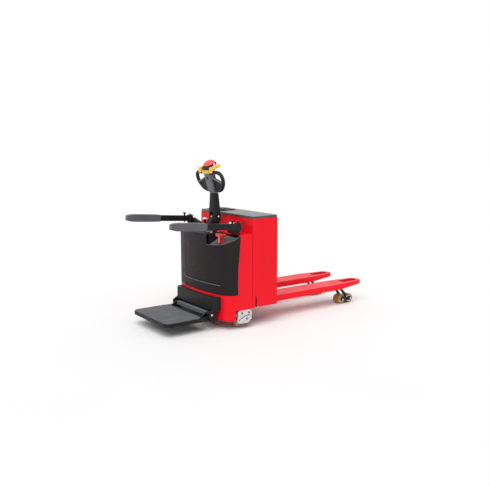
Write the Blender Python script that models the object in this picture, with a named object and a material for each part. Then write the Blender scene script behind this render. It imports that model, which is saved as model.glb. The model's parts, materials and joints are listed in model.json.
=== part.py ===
"""Ride-on electric pallet truck, in metres.

+X runs along the forks to their tips, +Z is up and the origin is on the floor under the middle of
the truck. "near" is the -Y side and "far" the +Y side. The forks stand raised, as the truck is shown.
"""

from math import acos, asin, cos, pi, radians, sin, tan

import bmesh
import bpy
from mathutils import Matrix, Vector

GAP = 0.0004  # air between pieces that touch
NEAR, FAR = -1, 1
SIDES = {"near": NEAR, "far": FAR}

# Tractor: the driven end that the operator stands on
BODY_HALF = 0.366
NOSE_X = -0.578  # foremost point of the body, on its centre line
NOSE_RADIUS = 1.20  # plan radius of the gently bowed front
NOSE_CORNER = 0.085
TRACTOR_REAR_X = -0.306
SKIRT_BOTTOM = 0.075
SKIRT_STEP_X = -0.460  # behind this the skirt steps up over the casters
SKIRT_STEP_Z = 0.150
COVER_BOTTOM = 0.272
COVER_TOP = 0.725
DECK_TOP = 0.731
DECK_THICK = 0.012
SHEET = 0.005
MID_PLATE_Z = (0.256, 0.268)

# Tray sunk into the near corner of the front cover
TRAY_INNER_Y = -0.130
TRAY_REAR_X = -0.412
TRAY_FRONT_Z = 0.640
TRAY_DEPTH = 0.016
DISCONNECT = (-0.505, -0.240)  # x, y
KEY = (-0.505, -0.100)  # x, y

# Battery box and fork carriage
LIFT_RAM = (-0.334, 0.0)  # x, y
BOX_FRONT_X = -0.302
BOX_REAR_X = -0.062
BOX_HALF = 0.3655
BOX_BOTTOM = 0.1535
BOX_TOP = 0.844
BOX_FLOOR_Z = (0.262, 0.268)
LID_TOP = 0.862
SLOT_X = (-0.275, -0.262)
SLOT_TOP = 0.241

# Forks and load wheels
FORK_TIP_X = 1.010
FORK_CENTRE_Y = 0.1905
FORK_HALF = 0.0895
FORK_TOP = 0.195
FORK_BOTTOM = 0.146
TIP_BOTTOM = 0.164
TAPER_X = 0.720
TIP_HALF = 0.061
TIP_TAPER_END_X = 0.958
SLOT_ENDS_X = (0.795, 0.968)
SLOT_HALF = 0.039
LIFT_DOWN = 0.110
ARM_PIVOT = (0.741, 0.162)  # x, z
ARM_LENGTH = 0.130
LOAD_WHEEL_RADIUS = 0.040
LOAD_WHEEL_HALF = 0.034
LOAD_WHEEL_PITCH = 0.092
BOGIE_REACH = 0.055  # half length of the axles and the bogie pin
BOGIE_PIN_Z = 0.066
BOGIE_PIN_RADIUS = 0.0070
BOGIE_PIN_HOLE = 0.0075
LOAD_AXLE_RADIUS = 0.0065
CHEEK_RADIUS = 0.0115
LEVER = 0.020
ARM_DROP = ARM_PIVOT[1] - BOGIE_PIN_Z
ARM_REST = asin(ARM_DROP / ARM_LENGTH)  # below the horizontal
ARM_LOWERED = asin((ARM_DROP - LIFT_DOWN) / ARM_LENGTH)
ARM_SWEEP = ARM_REST - ARM_LOWERED
BOGIE_X = ARM_PIVOT[0] + ARM_LENGTH * cos(ARM_REST)

# Bell crank under the battery that pushes the rods in the forks
CRANK = (-0.190, 0.212)
CRANK_ARM = 0.031
CRANK_SWEEP = LEVER * ARM_SWEEP / CRANK_ARM
CRANK_TAIL = LIFT_DOWN / (2 * sin(CRANK_SWEEP / 2))

# Drive unit and tiller
STEER_X = -0.435
DRIVE_RADIUS = 0.115
DRIVE_HALF = 0.0375
TILLER_PIVOT = (-0.403, 0.840)
COLUMN_BOTTOM, COLUMN_TOP = 0.802, 1.022
COLUMN_BASE_HALF, COLUMN_TOP_HALF = 0.0445, 0.0315
HEAD_LEAN = radians(19)
HEAD_ROOT = (-0.408, 1.045)  # where the leaning handle plane crosses the column
HEAD_TOP = 0.176  # along the lean, from the root
HEAD_SECTIONS = (  # half width, half depth, height along the lean, shift out to the operator
    (0.0340, 0.020, -0.0225, 0.004),
    (0.0385, 0.030, 0.010, 0.008),
    (0.0405, 0.029, 0.090, 0.002),
    (0.0425, 0.030, HEAD_TOP, -0.004),
)
DOME_OUT = -0.024  # the button's centre, behind the leaning plane
DOME_FALL = 0.16  # slope of the button's foot, down towards the operator
THROTTLE_UP = 0.184
HORN_UP = 0.110
SWITCH_UP, SWITCH_Y = 0.191, 0.030
LOOP_RADIUS = 0.0142
LOOP_OUT = 0.006

# Step, side arms and casters
STEP_FRONT_X, STEP_REAR_X = -1.010, -0.660
STEP_HALF = 0.270
STEP_TOP, STEP_THICK = 0.115, 0.030
STEP_HINGE = (-0.622, 0.128)
ARM_HINGE = (-0.425, 0.345)  # x, y
SIDE_ARM_Z = 0.7915
ARM_RISE = radians(4.1)  # towards the pads
ARM_SEAT_Z = SIDE_ARM_Z - 0.0285  # top of the arm's bracket
LATCH_AHEAD = 0.052  # from the arm's hinge to its latch
CASTER = (-0.368, 0.283)  # x, y of the swivel
CASTER_TRAIL = 0.022
CASTER_RADIUS = 0.0375


# ---------------------------------------------------------------- helpers

def clear_scene():
    for obj in list(bpy.data.objects):
        bpy.data.objects.remove(obj, do_unlink=True)


def material(name, colour, roughness, metallic=0.0):
    made = bpy.data.materials.new(name)
    made.use_nodes = True
    shader = made.node_tree.nodes["Principled BSDF"]
    shader.inputs["Base Color"].default_value = (*colour, 1.0)
    shader.inputs["Roughness"].default_value = roughness
    shader.inputs["Metallic"].default_value = metallic
    return made


def mesh_object(name, bm):
    bmesh.ops.remove_doubles(bm, verts=bm.verts, dist=1e-6)
    bmesh.ops.recalc_face_normals(bm, faces=bm.faces)
    mesh = bpy.data.meshes.new(name)
    bm.to_mesh(mesh)
    bm.free()
    obj = bpy.data.objects.new(name, mesh)
    bpy.context.scene.collection.objects.link(obj)
    return obj


def lay(axis, a, b, along):
    """A point from its two outline coordinates and its place along the extrusion axis."""
    return {"X": (along, a, b), "Y": (a, along, b), "Z": (a, b, along)}[axis]


def prism(outline, low, high, axis="Z", name="shape"):
    """An outline swept along an axis. The outline is x,y for Z, x,z for Y and y,z for X."""
    bm = bmesh.new()
    lower = [bm.verts.new(lay(axis, a, b, low)) for a, b in outline]
    upper = [bm.verts.new(lay(axis, a, b, high)) for a, b in outline]
    bm.faces.new(lower)
    bm.faces.new(upper)
    for i in range(len(outline)):
        j = (i + 1) % len(outline)
        bm.faces.new((lower[i], lower[j], upper[j], upper[i]))
    return mesh_object(name, bm)


def block(x, y, z, name="shape"):
    return prism([(x[0], y[0]), (x[1], y[0]), (x[1], y[1]), (x[0], y[1])], *z, name=name)


def disc(centre, radius, low, high, axis="Z", sides=24, name="shape"):
    ring = [
        (centre[0] + radius * cos(2 * pi * i / sides), centre[1] + radius * sin(2 * pi * i / sides))
        for i in range(sides)
    ]
    return prism(ring, low, high, axis, name)


def turned(profile, centre, axis="Z", sides=32, name="shape"):
    """A closed (radius, place) profile spun round an axis through centre."""
    bm = bmesh.new()
    rings = []
    for i in range(sides):
        a, b = cos(2 * pi * i / sides), sin(2 * pi * i / sides)
        rings.append(
            [bm.verts.new(lay(axis, centre[0] + r * a, centre[1] + r * b, at)) for r, at in profile]
        )
    count = len(profile)
    for i in range(sides):
        here, there = rings[i], rings[(i + 1) % sides]
        for k in range(count):
            bm.faces.new((here[k], here[(k + 1) % count], there[(k + 1) % count], there[k]))
    return mesh_object(name, bm)


def swept(points, radius, sides=12, name="shape"):
    """A round bar along points, with flat ends."""
    bm = bmesh.new()
    path = [Vector(p) for p in points]
    rings = []
    side = None
    for i, point in enumerate(path):
        ahead = (path[min(i + 1, len(path) - 1)] - path[max(i - 1, 0)]).normalized()
        if side is None:
            side = ahead.cross(Vector((0, 0, 1)) if abs(ahead.z) < 0.9 else Vector((1, 0, 0)))
        side = (side - ahead * side.dot(ahead)).normalized()
        up = ahead.cross(side)
        turns = [2 * pi * k / sides for k in range(sides)]
        rings.append([bm.verts.new(point + radius * (side * cos(t) + up * sin(t))) for t in turns])
    for here, there in zip(rings, rings[1:]):
        for k in range(sides):
            bm.faces.new((here[k], here[(k + 1) % sides], there[(k + 1) % sides], there[k]))
    bm.faces.new(rings[0])
    bm.faces.new(rings[-1])
    return mesh_object(name, bm)


def lofted(sections, name="shape"):
    """A skin over rings of equal length, each a list of points, with flat ends."""
    bm = bmesh.new()
    rings = [[bm.verts.new(p) for p in section] for section in sections]
    for here, there in zip(rings, rings[1:]):
        for k in range(len(here)):
            j = (k + 1) % len(here)
            bm.faces.new((here[k], here[j], there[j], there[k]))
    bm.faces.new(rings[0])
    bm.faces.new(rings[-1])
    return mesh_object(name, bm)


def boolean(obj, other, operation):
    other.hide_render = True
    other.display_type = "WIRE"
    modifier = obj.modifiers.new(operation.title(), "BOOLEAN")
    modifier.operation = operation
    modifier.object = other
    return obj


def cut(obj, *others):
    for other in others:
        boolean(obj, other, "DIFFERENCE")
    return obj


def join(obj, *others):
    for other in others:
        boolean(obj, other, "UNION")
    return obj


def rounded(corners, steps=5):
    """An outline from (x, y, radius) corners, with an arc at each corner that has a radius."""
    points = []
    for i, (x, y, radius) in enumerate(corners):
        here = Vector((x, y))
        if radius == 0:
            points.append((x, y))
            continue
        back = (Vector(corners[i - 1][:2]) - here).normalized()
        ahead = (Vector(corners[(i + 1) % len(corners)][:2]) - here).normalized()
        half = acos(max(-1.0, min(1.0, back.dot(ahead)))) / 2
        centre = here + (back + ahead).normalized() * (radius / sin(half))
        start = here + back * (radius / tan(half)) - centre
        turn = pi - 2 * half
        if back.x * ahead.y - back.y * ahead.x > 0:
            turn = -turn
        for k in range(steps + 1):
            swing = Matrix.Rotation(turn * k / steps, 2) @ start
            points.append((centre.x + swing.x, centre.y + swing.y))
    return points


def rectangle(x, y, radius, steps=5):
    return rounded(
        [(x[0], y[0], radius), (x[1], y[0], radius), (x[1], y[1], radius), (x[0], y[1], radius)], steps
    )


def plate_link(start, end, radius, low, high, sides=6):
    """A flat bar in the XZ plane with round ends, from y = low to y = high."""
    run = Vector(end) - Vector(start)
    heading = run.angle_signed(Vector((1, 0)))
    outline = []
    for centre, first in ((end, heading - pi / 2), (start, heading + pi / 2)):
        for k in range(sides + 1):
            angle = first + pi * k / sides
            outline.append((centre[0] + radius * cos(angle), centre[1] + radius * sin(angle)))
    return prism(outline, low, high, "Y")


def mirrored(side, low, high):
    """A y range on one side, given by its distances from the centre line."""
    return (low, high) if side == FAR else (-high, -low)


class Body:
    """A moving group: an empty at its joint, which its pieces hang on."""

    def __init__(self, name, origin=(0, 0, 0), parent=None):
        self.origin = Vector(origin)
        self.empty = bpy.data.objects.new(name + "_axis", None)
        bpy.context.scene.collection.objects.link(self.empty)
        self.empty.location = self.origin - (parent.origin if parent else Vector())
        self.empty.parent = parent.empty if parent else None

    def add(self, obj, name, finish, smooth=True):
        """Names a piece, gives it its finish and moves its origin to the joint."""
        obj.name = name
        obj.data.name = name
        obj.data.materials.append(finish)
        obj.data.transform(Matrix.Translation(-self.origin))
        if smooth:
            obj.data.shade_smooth()
            obj.data.set_sharp_from_angle(angle=radians(32))
        obj.parent = self.empty
        return obj


# ---------------------------------------------------------------- outlines

def nose_x(y):
    return NOSE_X + y * y / (2 * NOSE_RADIUS)


def tractor_plan(inset, rear_x):
    """The tractor's plan outline: a bowed front with rounded corners and straight sides."""
    half = BODY_HALF - inset
    bow = [(nose_x(y) + inset, y, 0) for y in (0.22, 0.11, 0, -0.11, -0.22)]
    corner_x = nose_x(half) + inset
    radius = NOSE_CORNER - inset
    far_side = [(rear_x, half, 0), (corner_x, half, radius)]
    near_side = [(corner_x, -half, radius), (rear_x, -half, 0)]
    return rounded(far_side + bow + near_side)


def cover_edge(shift):
    """The cover's rear edge from top to bottom, as x,z points. It leans back towards its top."""
    edge = [(-0.414, 0.80), (-0.414, 0.720), (-0.422, 0.607), (-0.435, 0.494)]
    edge += [(-0.438, 0.456), (-0.438, 0.20)]
    return [(x + shift, z) for x, z in edge]


def fork_plan(inset, start_x):
    half, tip_half = FORK_HALF - inset, TIP_HALF - inset
    tip_x = FORK_TIP_X - inset
    tip_radius = 0.040 - inset
    end_half = 0.044 - inset
    outline = [
        (start_x, -half, 0),
        (TAPER_X, -half, 0),
        (TIP_TAPER_END_X, -tip_half, 0),
        (tip_x, -end_half, tip_radius),
        (tip_x, end_half, tip_radius),
        (TIP_TAPER_END_X, tip_half, 0),
        (TAPER_X, half, 0),
        (start_x, half, 0),
    ]
    return rounded(outline)


# ---------------------------------------------------------------- tractor

def tractor_frame():
    """Welded frame: skirt, side cheeks, deck, slewing plate and bulkhead."""
    frame = prism(tractor_plan(0, TRACTOR_REAR_X), SKIRT_BOTTOM, DECK_TOP)
    inside = tractor_plan(SHEET, TRACTOR_REAR_X - SHEET)
    cut(frame, prism(inside, SKIRT_BOTTOM - 0.02, MID_PLATE_Z[0]))
    cut(frame, prism(inside, MID_PLATE_Z[1], DECK_TOP - DECK_THICK))
    ahead = cover_edge(GAP) + [(-0.62, 0.20), (-0.62, 0.80)]
    open_front = prism(ahead, -0.40, 0.40, "Y")
    cut(open_front, block((-0.63, -0.30), (-0.41, 0.41), (0.19, COVER_BOTTOM - GAP)))
    cut(frame, open_front)
    cut(frame, block((SKIRT_STEP_X, -0.20), (-0.40, 0.40), (0.02, SKIRT_STEP_Z)))
    # tongue under the cover that carries the steering shaft
    join(frame, block((-0.500, TRACTOR_REAR_X - 0.002), (-0.120, 0.120), (0.700, 0.7202)))
    cut(frame, disc((STEER_X, 0), 0.027, 0.68, 0.76))
    cut(frame, disc((STEER_X, 0), 0.068, 0.24, 0.28, sides=32))
    for side in SIDES.values():
        # shelf for the caster and the two anchors of the bell crank
        join(frame, block((SKIRT_STEP_X + 0.02, -0.310), mirrored(side, 0.215, 0.3635), (0.150, 0.156)))
        join(frame, block((-0.378, -0.342), mirrored(side, 0.163, 0.171), (0.140, 0.262)))
        cut(frame, block((-0.34, -0.28), mirrored(side, 0.140, 0.176), (0.10, 0.2559)))
    # window in the bulkhead for the lift bracket
    cut(frame, block((-0.33, -0.28), (-0.045, 0.045), (0.45, 0.67)))
    return frame


def front_cover():
    """Moulded cover round the front of the tractor, cut away for the tray."""
    cover = prism(tractor_plan(0, -0.38), COVER_BOTTOM + 0.0006, COVER_TOP)
    cut(cover, prism(tractor_plan(SHEET, -0.37), 0.20, COVER_TOP - 0.0045))
    behind = cover_edge(0) + [(-0.30, 0.20), (-0.30, 0.80)]
    cut(cover, prism(behind, -0.40, 0.40, "Y"))
    cut(cover, block((-0.445, -0.35), (-0.060, 0.060), (0.70, 0.75)))
    cut(cover, disc((STEER_X, 0), 0.062, 0.70, 0.75, sides=32))
    cut(cover, tray_space(0.45, TRAY_INNER_Y))
    return join(cover, storage_tray())


def tray_slope(x):
    share = (TRAY_REAR_X - x) / (TRAY_REAR_X - NOSE_X)
    return COVER_TOP + share * (TRAY_FRONT_Z - COVER_TOP)


def tray_space(outer_y, inner_y):
    """The wedge above the tray's sloping rim."""
    front = -0.62
    outline = [(TRAY_REAR_X, tray_slope(TRAY_REAR_X)), (TRAY_REAR_X, 0.80), (front, 0.80)]
    outline.append((front, tray_slope(front)))
    return prism(outline, -outer_y, inner_y, "Y")


def storage_tray():
    """Sloping tray floor with its inner wall, both let into the cover."""
    rear_x, front_x = -0.4165, -0.62
    under = TRAY_DEPTH + 0.004
    outline = [
        (rear_x, tray_slope(rear_x) - TRAY_DEPTH),
        (rear_x, tray_slope(rear_x) - under),
        (front_x, tray_slope(front_x) - under),
        (front_x, tray_slope(front_x) - TRAY_DEPTH),
    ]
    floor = prism(outline, -0.40, TRAY_INNER_Y, "Y")
    boolean(floor, prism(tractor_plan(SHEET - 0.001, -0.41), 0.55, 0.76), "INTERSECT")
    wall_x = -0.5685
    wall = [(rear_x, 0.69), (rear_x, COVER_TOP - 0.001), (wall_x, COVER_TOP - 0.001)]
    wall.append((wall_x, tray_slope(wall_x) - under + 0.001))
    return join(floor, prism(wall, TRAY_INNER_Y - 0.002, TRAY_INNER_Y + 0.003, "Y"))


def emergency_handle():
    """Red pull handle of the battery disconnect, standing on the tray."""
    x, y = DISCONNECT
    foot = rectangle((x - 0.024, x + 0.024), (y - 0.013, y + 0.013), 0.006, 3)
    post = prism(foot, 0.630, 0.716)
    front_x, rear_x, lift = -0.62, TRAY_REAR_X, GAP - TRAY_DEPTH
    below = [(front_x, tray_slope(front_x) + lift), (rear_x, tray_slope(rear_x) + lift)]
    below += [(rear_x, 0.60), (front_x, 0.60)]
    cut(post, prism(below, -0.30, -0.17, "Y"))
    bar = rectangle((x - 0.037, x + 0.037), (y - 0.024, y + 0.024), 0.010, 3)
    return join(post, prism(bar, 0.711, 0.739))


def ignition_key():
    """Key with its round barrel, standing on the cover."""
    x, y = KEY
    barrel = disc((x, y), 0.012, COVER_TOP + GAP, COVER_TOP + 0.007, sides=20)
    blade_z = (COVER_TOP + 0.005, COVER_TOP + 0.026)
    return join(barrel, block((x - 0.012, x + 0.012), (y - 0.0015, y + 0.0015), blade_z))


def platform_bracket():
    """Black box across the nose with the two cheeks that carry the step."""
    bracket = block((-0.598, -0.5805), (-0.269, 0.269), (0.154, 0.253))
    # the box fills the space between its flat front and the bowed skirt
    back = [(nose_x(y) - GAP, y) for y in (0.269, 0.22, 0.11, 0, -0.11, -0.22, -0.269)]
    filler = prism([(-0.590, -0.269), *reversed(back), (-0.590, 0.269)], 0.156, 0.251)
    join(bracket, filler)
    join(bracket, block((-0.590, -0.5795), (-0.262, 0.262), (0.072, 0.157)))
    skirt = prism([*back, (-0.50, -0.30), (-0.50, 0.30)], 0.10, 0.30)
    cut(bracket, skirt)
    corners = [
        (-0.642, 0.112, 0.012),
        (-0.604, 0.060, 0.010),
        (-0.5775, 0.060, 0.004),
        (-0.5775, 0.170, 0),
        (-0.600, 0.170, 0.004),
        (-0.642, 0.148, 0.010),
    ]
    cheek = rounded(corners, 3)
    for side in SIDES.values():
        plate = prism(cheek, *mirrored(side, 0.261, 0.274), "Y")
        join(bracket, plate)
    cut(bracket, prism([*back, (-0.50, -0.30), (-0.50, 0.30)], 0.04, 0.12))
    for side in SIDES.values():
        join(bracket, disc(STEP_HINGE, 0.008, *mirrored(side, 0.236, 0.282), "Y", 16))
    return bracket


def side_arm_bracket(side):
    """Bent plate from the deck out to the hinge of one side arm."""
    x, y = ARM_HINGE
    foot = rectangle((-0.412, -0.330), (0.180, 0.235), 0.008, 3)
    if side == NEAR:
        foot = [(a, -b) for a, b in reversed(foot)]
    bracket = prism(foot, DECK_TOP + GAP, ARM_SEAT_Z - 0.002)
    top = [(-0.412, 0.185), (-0.355, 0.185), (-0.355, 0.235)]
    top += [(-0.405, 0.352), (-0.446, 0.352), (-0.446, 0.318)]
    if side == NEAR:
        top = [(a, -b) for a, b in reversed(top)]
    join(bracket, prism(top, ARM_SEAT_Z - 0.020, ARM_SEAT_Z))
    join(bracket, disc((x, side * y), 0.0075, ARM_SEAT_Z - 0.003, SIDE_ARM_Z + 0.036, sides=16))
    return bracket


def caster_guard(side):
    """Bright guard plate outside one caster, with a folded top flange."""
    outline = [
        (-0.440, 0.070),
        (-0.414, 0.045),
        (-0.345, 0.045),
        (-0.310, 0.074),
        (-0.310, 0.128),
        (-0.328, 0.149),
        (-0.428, 0.149),
        (-0.440, 0.136),
    ]
    guard = prism(outline, *mirrored(side, 0.3605, 0.3655), "Y")
    join(guard, block((-0.430, -0.322), mirrored(side, 0.330, 0.362), (0.1445, 0.1495)))
    return guard


def motor_controller():
    box = block((-0.520, -0.440), (0.110, 0.270), (0.300, 0.620))
    for k in range(5):
        z = 0.340 + 0.055 * k
        cut(box, block((-0.445, -0.43), (0.10, 0.28), (z, z + 0.028)))
    return box


def hydraulic_unit():
    """Oil tank with its pump motor standing on it."""
    pump = (-0.450, -0.225)
    tank = prism(rectangle((-0.520, -0.400), (-0.300, -0.160), 0.020, 4), MID_PLATE_Z[1] + GAP, 0.420)
    join(tank, disc(pump, 0.048, 0.415, 0.560, sides=24))
    return join(tank, disc(pump, 0.030, 0.555, 0.590, sides=16))


def lift_cylinder():
    """Upright lift ram between the motor and the bulkhead."""
    foot = MID_PLATE_Z[1] + GAP
    profile = [(0.0135, 0.505), (0.0135, 0.275), (0, 0.275), (0, foot), (0.0190, foot)]
    profile += [(0.0190, 0.490), (0.0205, 0.490), (0.0205, 0.505)]
    return turned(profile, LIFT_RAM, sides=24)


# ---------------------------------------------------------------- steering and drive

def drive_gearbox():
    """Turntable, neck and the gear case that carries the drive wheel on one side."""
    top = disc((STEER_X, 0), 0.076, MID_PLATE_Z[1] + GAP, 0.282, sides=32)
    join(top, disc((STEER_X, 0), 0.062, 0.240, 0.275, sides=32))
    front, rear = STEER_X - 0.050, STEER_X + 0.050
    corners = [(front, 0.250, 0), (front, 0.110, 0.045), (STEER_X, 0.056, 0.030)]
    corners += [(rear, 0.110, 0.045), (rear, 0.250, 0)]
    join(top, prism(rounded(corners, 4), 0.0415, 0.076, "Y"))
    join(top, disc((STEER_X, DRIVE_RADIUS), 0.020, -0.036, 0.045, "Y", 20))
    cut(top, block((STEER_X - 0.13, STEER_X + 0.13), (-0.09, 0.0405), (0.236, 0.2395)))
    return top


def drive_tyre():
    profile = wheel_profile(0.0860, DRIVE_RADIUS, DRIVE_HALF, 0.006)
    return turned(profile, (STEER_X, DRIVE_RADIUS), "Y", 32)


def drive_hub():
    rim, bore = 0.0856, 0.0205
    section = [(bore, -0.030), (0.044, -0.030), (0.050, -0.012)]
    section += [(0.074, -0.012), (0.078, -0.034), (rim, -0.034)]
    section += [(r, -at) for r, at in reversed(section)]
    return turned(section, (STEER_X, DRIVE_RADIUS), "Y", 24)


def drive_motor():
    """Upright motor with its parking brake on top."""
    profile = [(0, 0.2824), (0.070, 0.2824), (0.070, 0.300), (0.066, 0.306), (0.066, 0.500)]
    profile += [(0.058, 0.512), (0.050, 0.512), (0.050, 0.556), (0.030, 0.566), (0, 0.566)]
    return turned(profile, (STEER_X, 0), sides=24)


def steering_shaft():
    profile = [(0, 0.5664), (0.034, 0.5664), (0.034, 0.582)]
    profile += [(0.022, 0.590), (0.022, 0.7396), (0, 0.7396)]
    return turned(profile, (STEER_X, 0), sides=24)


def tiller_base():
    """Clevis block on the steering shaft, with the pin that the tiller tilts on."""
    x, z = TILLER_PIVOT
    base = disc((STEER_X, 0), 0.054, 0.740, 0.754, sides=32)
    web = [(STEER_X - 0.028, 0.748), (x + 0.022, 0.748)]
    for k in range(9):
        angle = radians(-10 + 20 * k)
        web.append((x + 0.028 * cos(angle), z + 0.028 * sin(angle)))
    web.append((STEER_X - 0.028, 0.800))
    join(base, prism(web, -0.0255, 0.0255, "Y"))
    join(base, disc((x, z), 0.009, -0.052, 0.052, "Y", 20))
    for side in SIDES.values():
        join(base, disc((x, z), 0.014, *mirrored(side, 0.0452, 0.0525), "Y", 6))
    return base


def tiller_column():
    x = TILLER_PIVOT[0]
    sections = []
    shape = [(COLUMN_BOTTOM, COLUMN_BASE_HALF, 0.032), (0.880, 0.0400, 0.033)]
    shape.append((COLUMN_TOP, COLUMN_TOP_HALF, 0.025))
    for z, half, depth in shape:
        lean = 0.006 * (z - COLUMN_BOTTOM) / (COLUMN_TOP - COLUMN_BOTTOM)
        outline = rectangle((x - depth - lean, x + depth - lean), (-half, half), 0.012, 3)
        sections.append([(a, b, z) for a, b in outline])
    column = lofted(sections)
    slot = [(x - 0.06, 0.78), (x + 0.06, 0.78), (x + 0.06, 0.874), (x - 0.06, 0.874)]
    cut(column, prism(slot, -0.0262, 0.0262, "Y"))
    cut(column, disc(TILLER_PIVOT, 0.0094, -0.06, 0.06, "Y", 20))
    return column


def lean_point(y, up, out=0.0):
    """A point in the handle's leaning plane: y across, up along it and out towards the operator."""
    x, z = HEAD_ROOT
    return (
        x - up * sin(HEAD_LEAN) - out * cos(HEAD_LEAN),
        y,
        z + up * cos(HEAD_LEAN) - out * sin(HEAD_LEAN),
    )


def lean_ring(half, depth, up, out=0.0, radius=0.012, fall=0.0):
    """A rounded rectangle across the handle's leaning plane at a height along it."""
    corners = rectangle((-half, half), (-depth, depth), radius, 3)
    return [lean_point(y, up - fall * d, out + d) for y, d in corners]


def tiller_head():
    """Tapered central body of the handle, from the column up to the switch collar."""
    head = lofted([lean_ring(*section) for section in HEAD_SECTIONS])
    cut(head, block((-0.50, -0.30), (-0.10, 0.10), (0.98, COLUMN_TOP + GAP)))
    for side in SIDES.values():
        cut(head, loop_bar(side, LOOP_RADIUS + 0.0005))
    return cut(head, swept([lean_point(0, HORN_UP, 0.0145), lean_point(0, HORN_UP, 0.060)], 0.0115, 12))


def loop_bar(side, radius):
    """One side of the handle: out from the head, round the hand and back to its foot."""
    route = [(0.034, 0.148), (0.088, 0.151), (0.128, 0.151), (0.154, 0.144), (0.170, 0.128)]
    route += [(0.176, 0.104), (0.173, 0.078), (0.158, 0.050), (0.134, 0.025), (0.104, 0.008)]
    route += [(0.068, 0.001), (0.030, 0.008)]
    return swept([lean_point(side * y, up, LOOP_OUT) for y, up in route], radius, 10)


def handle_loop(side):
    """Loop bar and the web that fills its foot."""
    loop = loop_bar(side, LOOP_RADIUS)
    web = [(0.030, 0.010), (0.068, 0.002), (0.104, 0.010), (0.150, 0.046), (0.166, 0.074)]
    web += [(0.100, 0.094), (0.030, 0.120)]
    rings = [[lean_point(side * y, up, LOOP_OUT + out) for y, up in web] for out in (-0.007, 0.007)]
    join(loop, lofted(rings))
    return cut(loop, lofted([lean_ring(half + 0.0005, 0.06, up) for half, depth, up, out in HEAD_SECTIONS]))


def head_band():
    """Yellow band across the operator's face of the head, under the collar."""
    outer = [(-0.0470, 0.0210), (0.0470, 0.0210), (0.0470, 0.0310)]
    outer += [(0.0400, 0.0360), (-0.0400, 0.0360), (-0.0470, 0.0310)]
    band = lofted([[lean_point(y, up, out) for y, out in outer] for up in (0.150, 0.1745)])
    return cut(band, lofted([lean_ring(half + GAP, depth + GAP, up, out) for half, depth, up, out in HEAD_SECTIONS]))


def switch_collar():
    """Dark collar on top of the head that holds the switches and the throttle shaft."""
    sections = [
        lean_ring(0.0460, 0.034, HEAD_TOP + GAP, -0.006, 0.014),
        lean_ring(0.0550, 0.043, 0.190, -0.018, 0.018, DOME_FALL / 2),
        lean_ring(0.0530, 0.042, 0.205, DOME_OUT, 0.018, DOME_FALL),
    ]
    collar = lofted(sections)
    cut(collar, swept([lean_point(-0.08, THROTTLE_UP), lean_point(0.08, THROTTLE_UP)], 0.0078, 12))
    for y in (-SWITCH_Y, SWITCH_Y):
        cut(collar, swept([lean_point(y, SWITCH_UP, -0.080), lean_point(y, SWITCH_UP, -0.0490)], 0.0085, 12))
    return collar


def belly_button():
    """Large safety button that fills the top of the head."""
    rings = []
    for k in range(6):
        angle = radians(82) * k / 5
        shrink = cos(angle)
        rise = 0.2088 + 0.028 * sin(angle)
        ring = lean_ring(0.0515 * shrink, 0.0405 * shrink, rise, DOME_OUT, 0.018 * shrink, DOME_FALL)
        rings.append(ring)
    return lofted(rings)


def throttle():
    """Twin wings on one shaft through the collar."""
    made = swept([lean_point(-0.078, THROTTLE_UP), lean_point(0.078, THROTTLE_UP)], 0.0068, 12)
    wing = [(0.035, -0.030), (0.026, 0.012), (-0.028, 0.013), (-0.058, 0.012), (-0.062, 0.002)]
    wing += [(-0.052, -0.010), (-0.014, -0.010), (0.024, -0.017)]
    for side in SIDES.values():
        edges = (side * 0.0600, side * 0.0960)
        rings = [[lean_point(y, THROTTLE_UP + up, out) for out, up in wing] for y in edges]
        join(made, lofted(rings))
    return made


def push_button(y, up, start, end, radius):
    return swept([lean_point(y, up, start), lean_point(y, up, end)], radius, 16)


# ---------------------------------------------------------------- step and side arms

def step_plate():
    """Folding step with the lugs and the cross bar at its hinge."""
    top, bottom = STEP_TOP - 0.004, STEP_TOP - STEP_THICK
    corners = [(STEP_FRONT_X, -STEP_HALF, 0.050), (STEP_REAR_X, -STEP_HALF, 0.006)]
    corners += [(STEP_REAR_X, STEP_HALF, 0.006), (STEP_FRONT_X, STEP_HALF, 0.050)]
    step = prism(rounded(corners), bottom, top)
    x, z = STEP_HINGE
    lug = [(-0.688, 0.092, 0.004), (x + 0.014, z - 0.014, 0.010), (x + 0.014, z + 0.014, 0.010)]
    lug += [(x - 0.020, z + 0.014, 0.008), (-0.688, 0.1135, 0.001)]
    for side in SIDES.values():
        join(step, prism(rounded(lug, 3), *mirrored(side, 0.216, 0.231), "Y"))
    bar = rectangle((x - 0.015, x + 0.012), (z - 0.011, z + 0.015), 0.004, 3)
    join(step, prism(bar, -0.2205, 0.2205, "Y"))
    for side in SIDES.values():
        join(step, disc(STEP_HINGE, 0.0135, *mirrored(side, 0.218, 0.2555), "Y", 24))
        cut(step, disc(STEP_HINGE, 0.0084, *mirrored(side, 0.2355, 0.270), "Y", 16))
    return step


def step_mat():
    """Ribbed rubber mat on the step."""
    inset = 0.006
    half = STEP_HALF - inset
    outline = rectangle((STEP_FRONT_X + inset, STEP_REAR_X - 0.034), (-half, half), 0.044)
    return prism(outline, STEP_TOP - 0.004 + GAP, STEP_TOP)


def raised_to_pad(obj):
    """Tilts a piece of a side arm up towards the pads, about the arm's hinge."""
    hinge = Matrix.Translation((ARM_HINGE[0], 0, SIDE_ARM_Z))
    obj.data.transform(hinge @ Matrix.Rotation(ARM_RISE, 4, "Y") @ hinge.inverted())
    return obj


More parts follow.
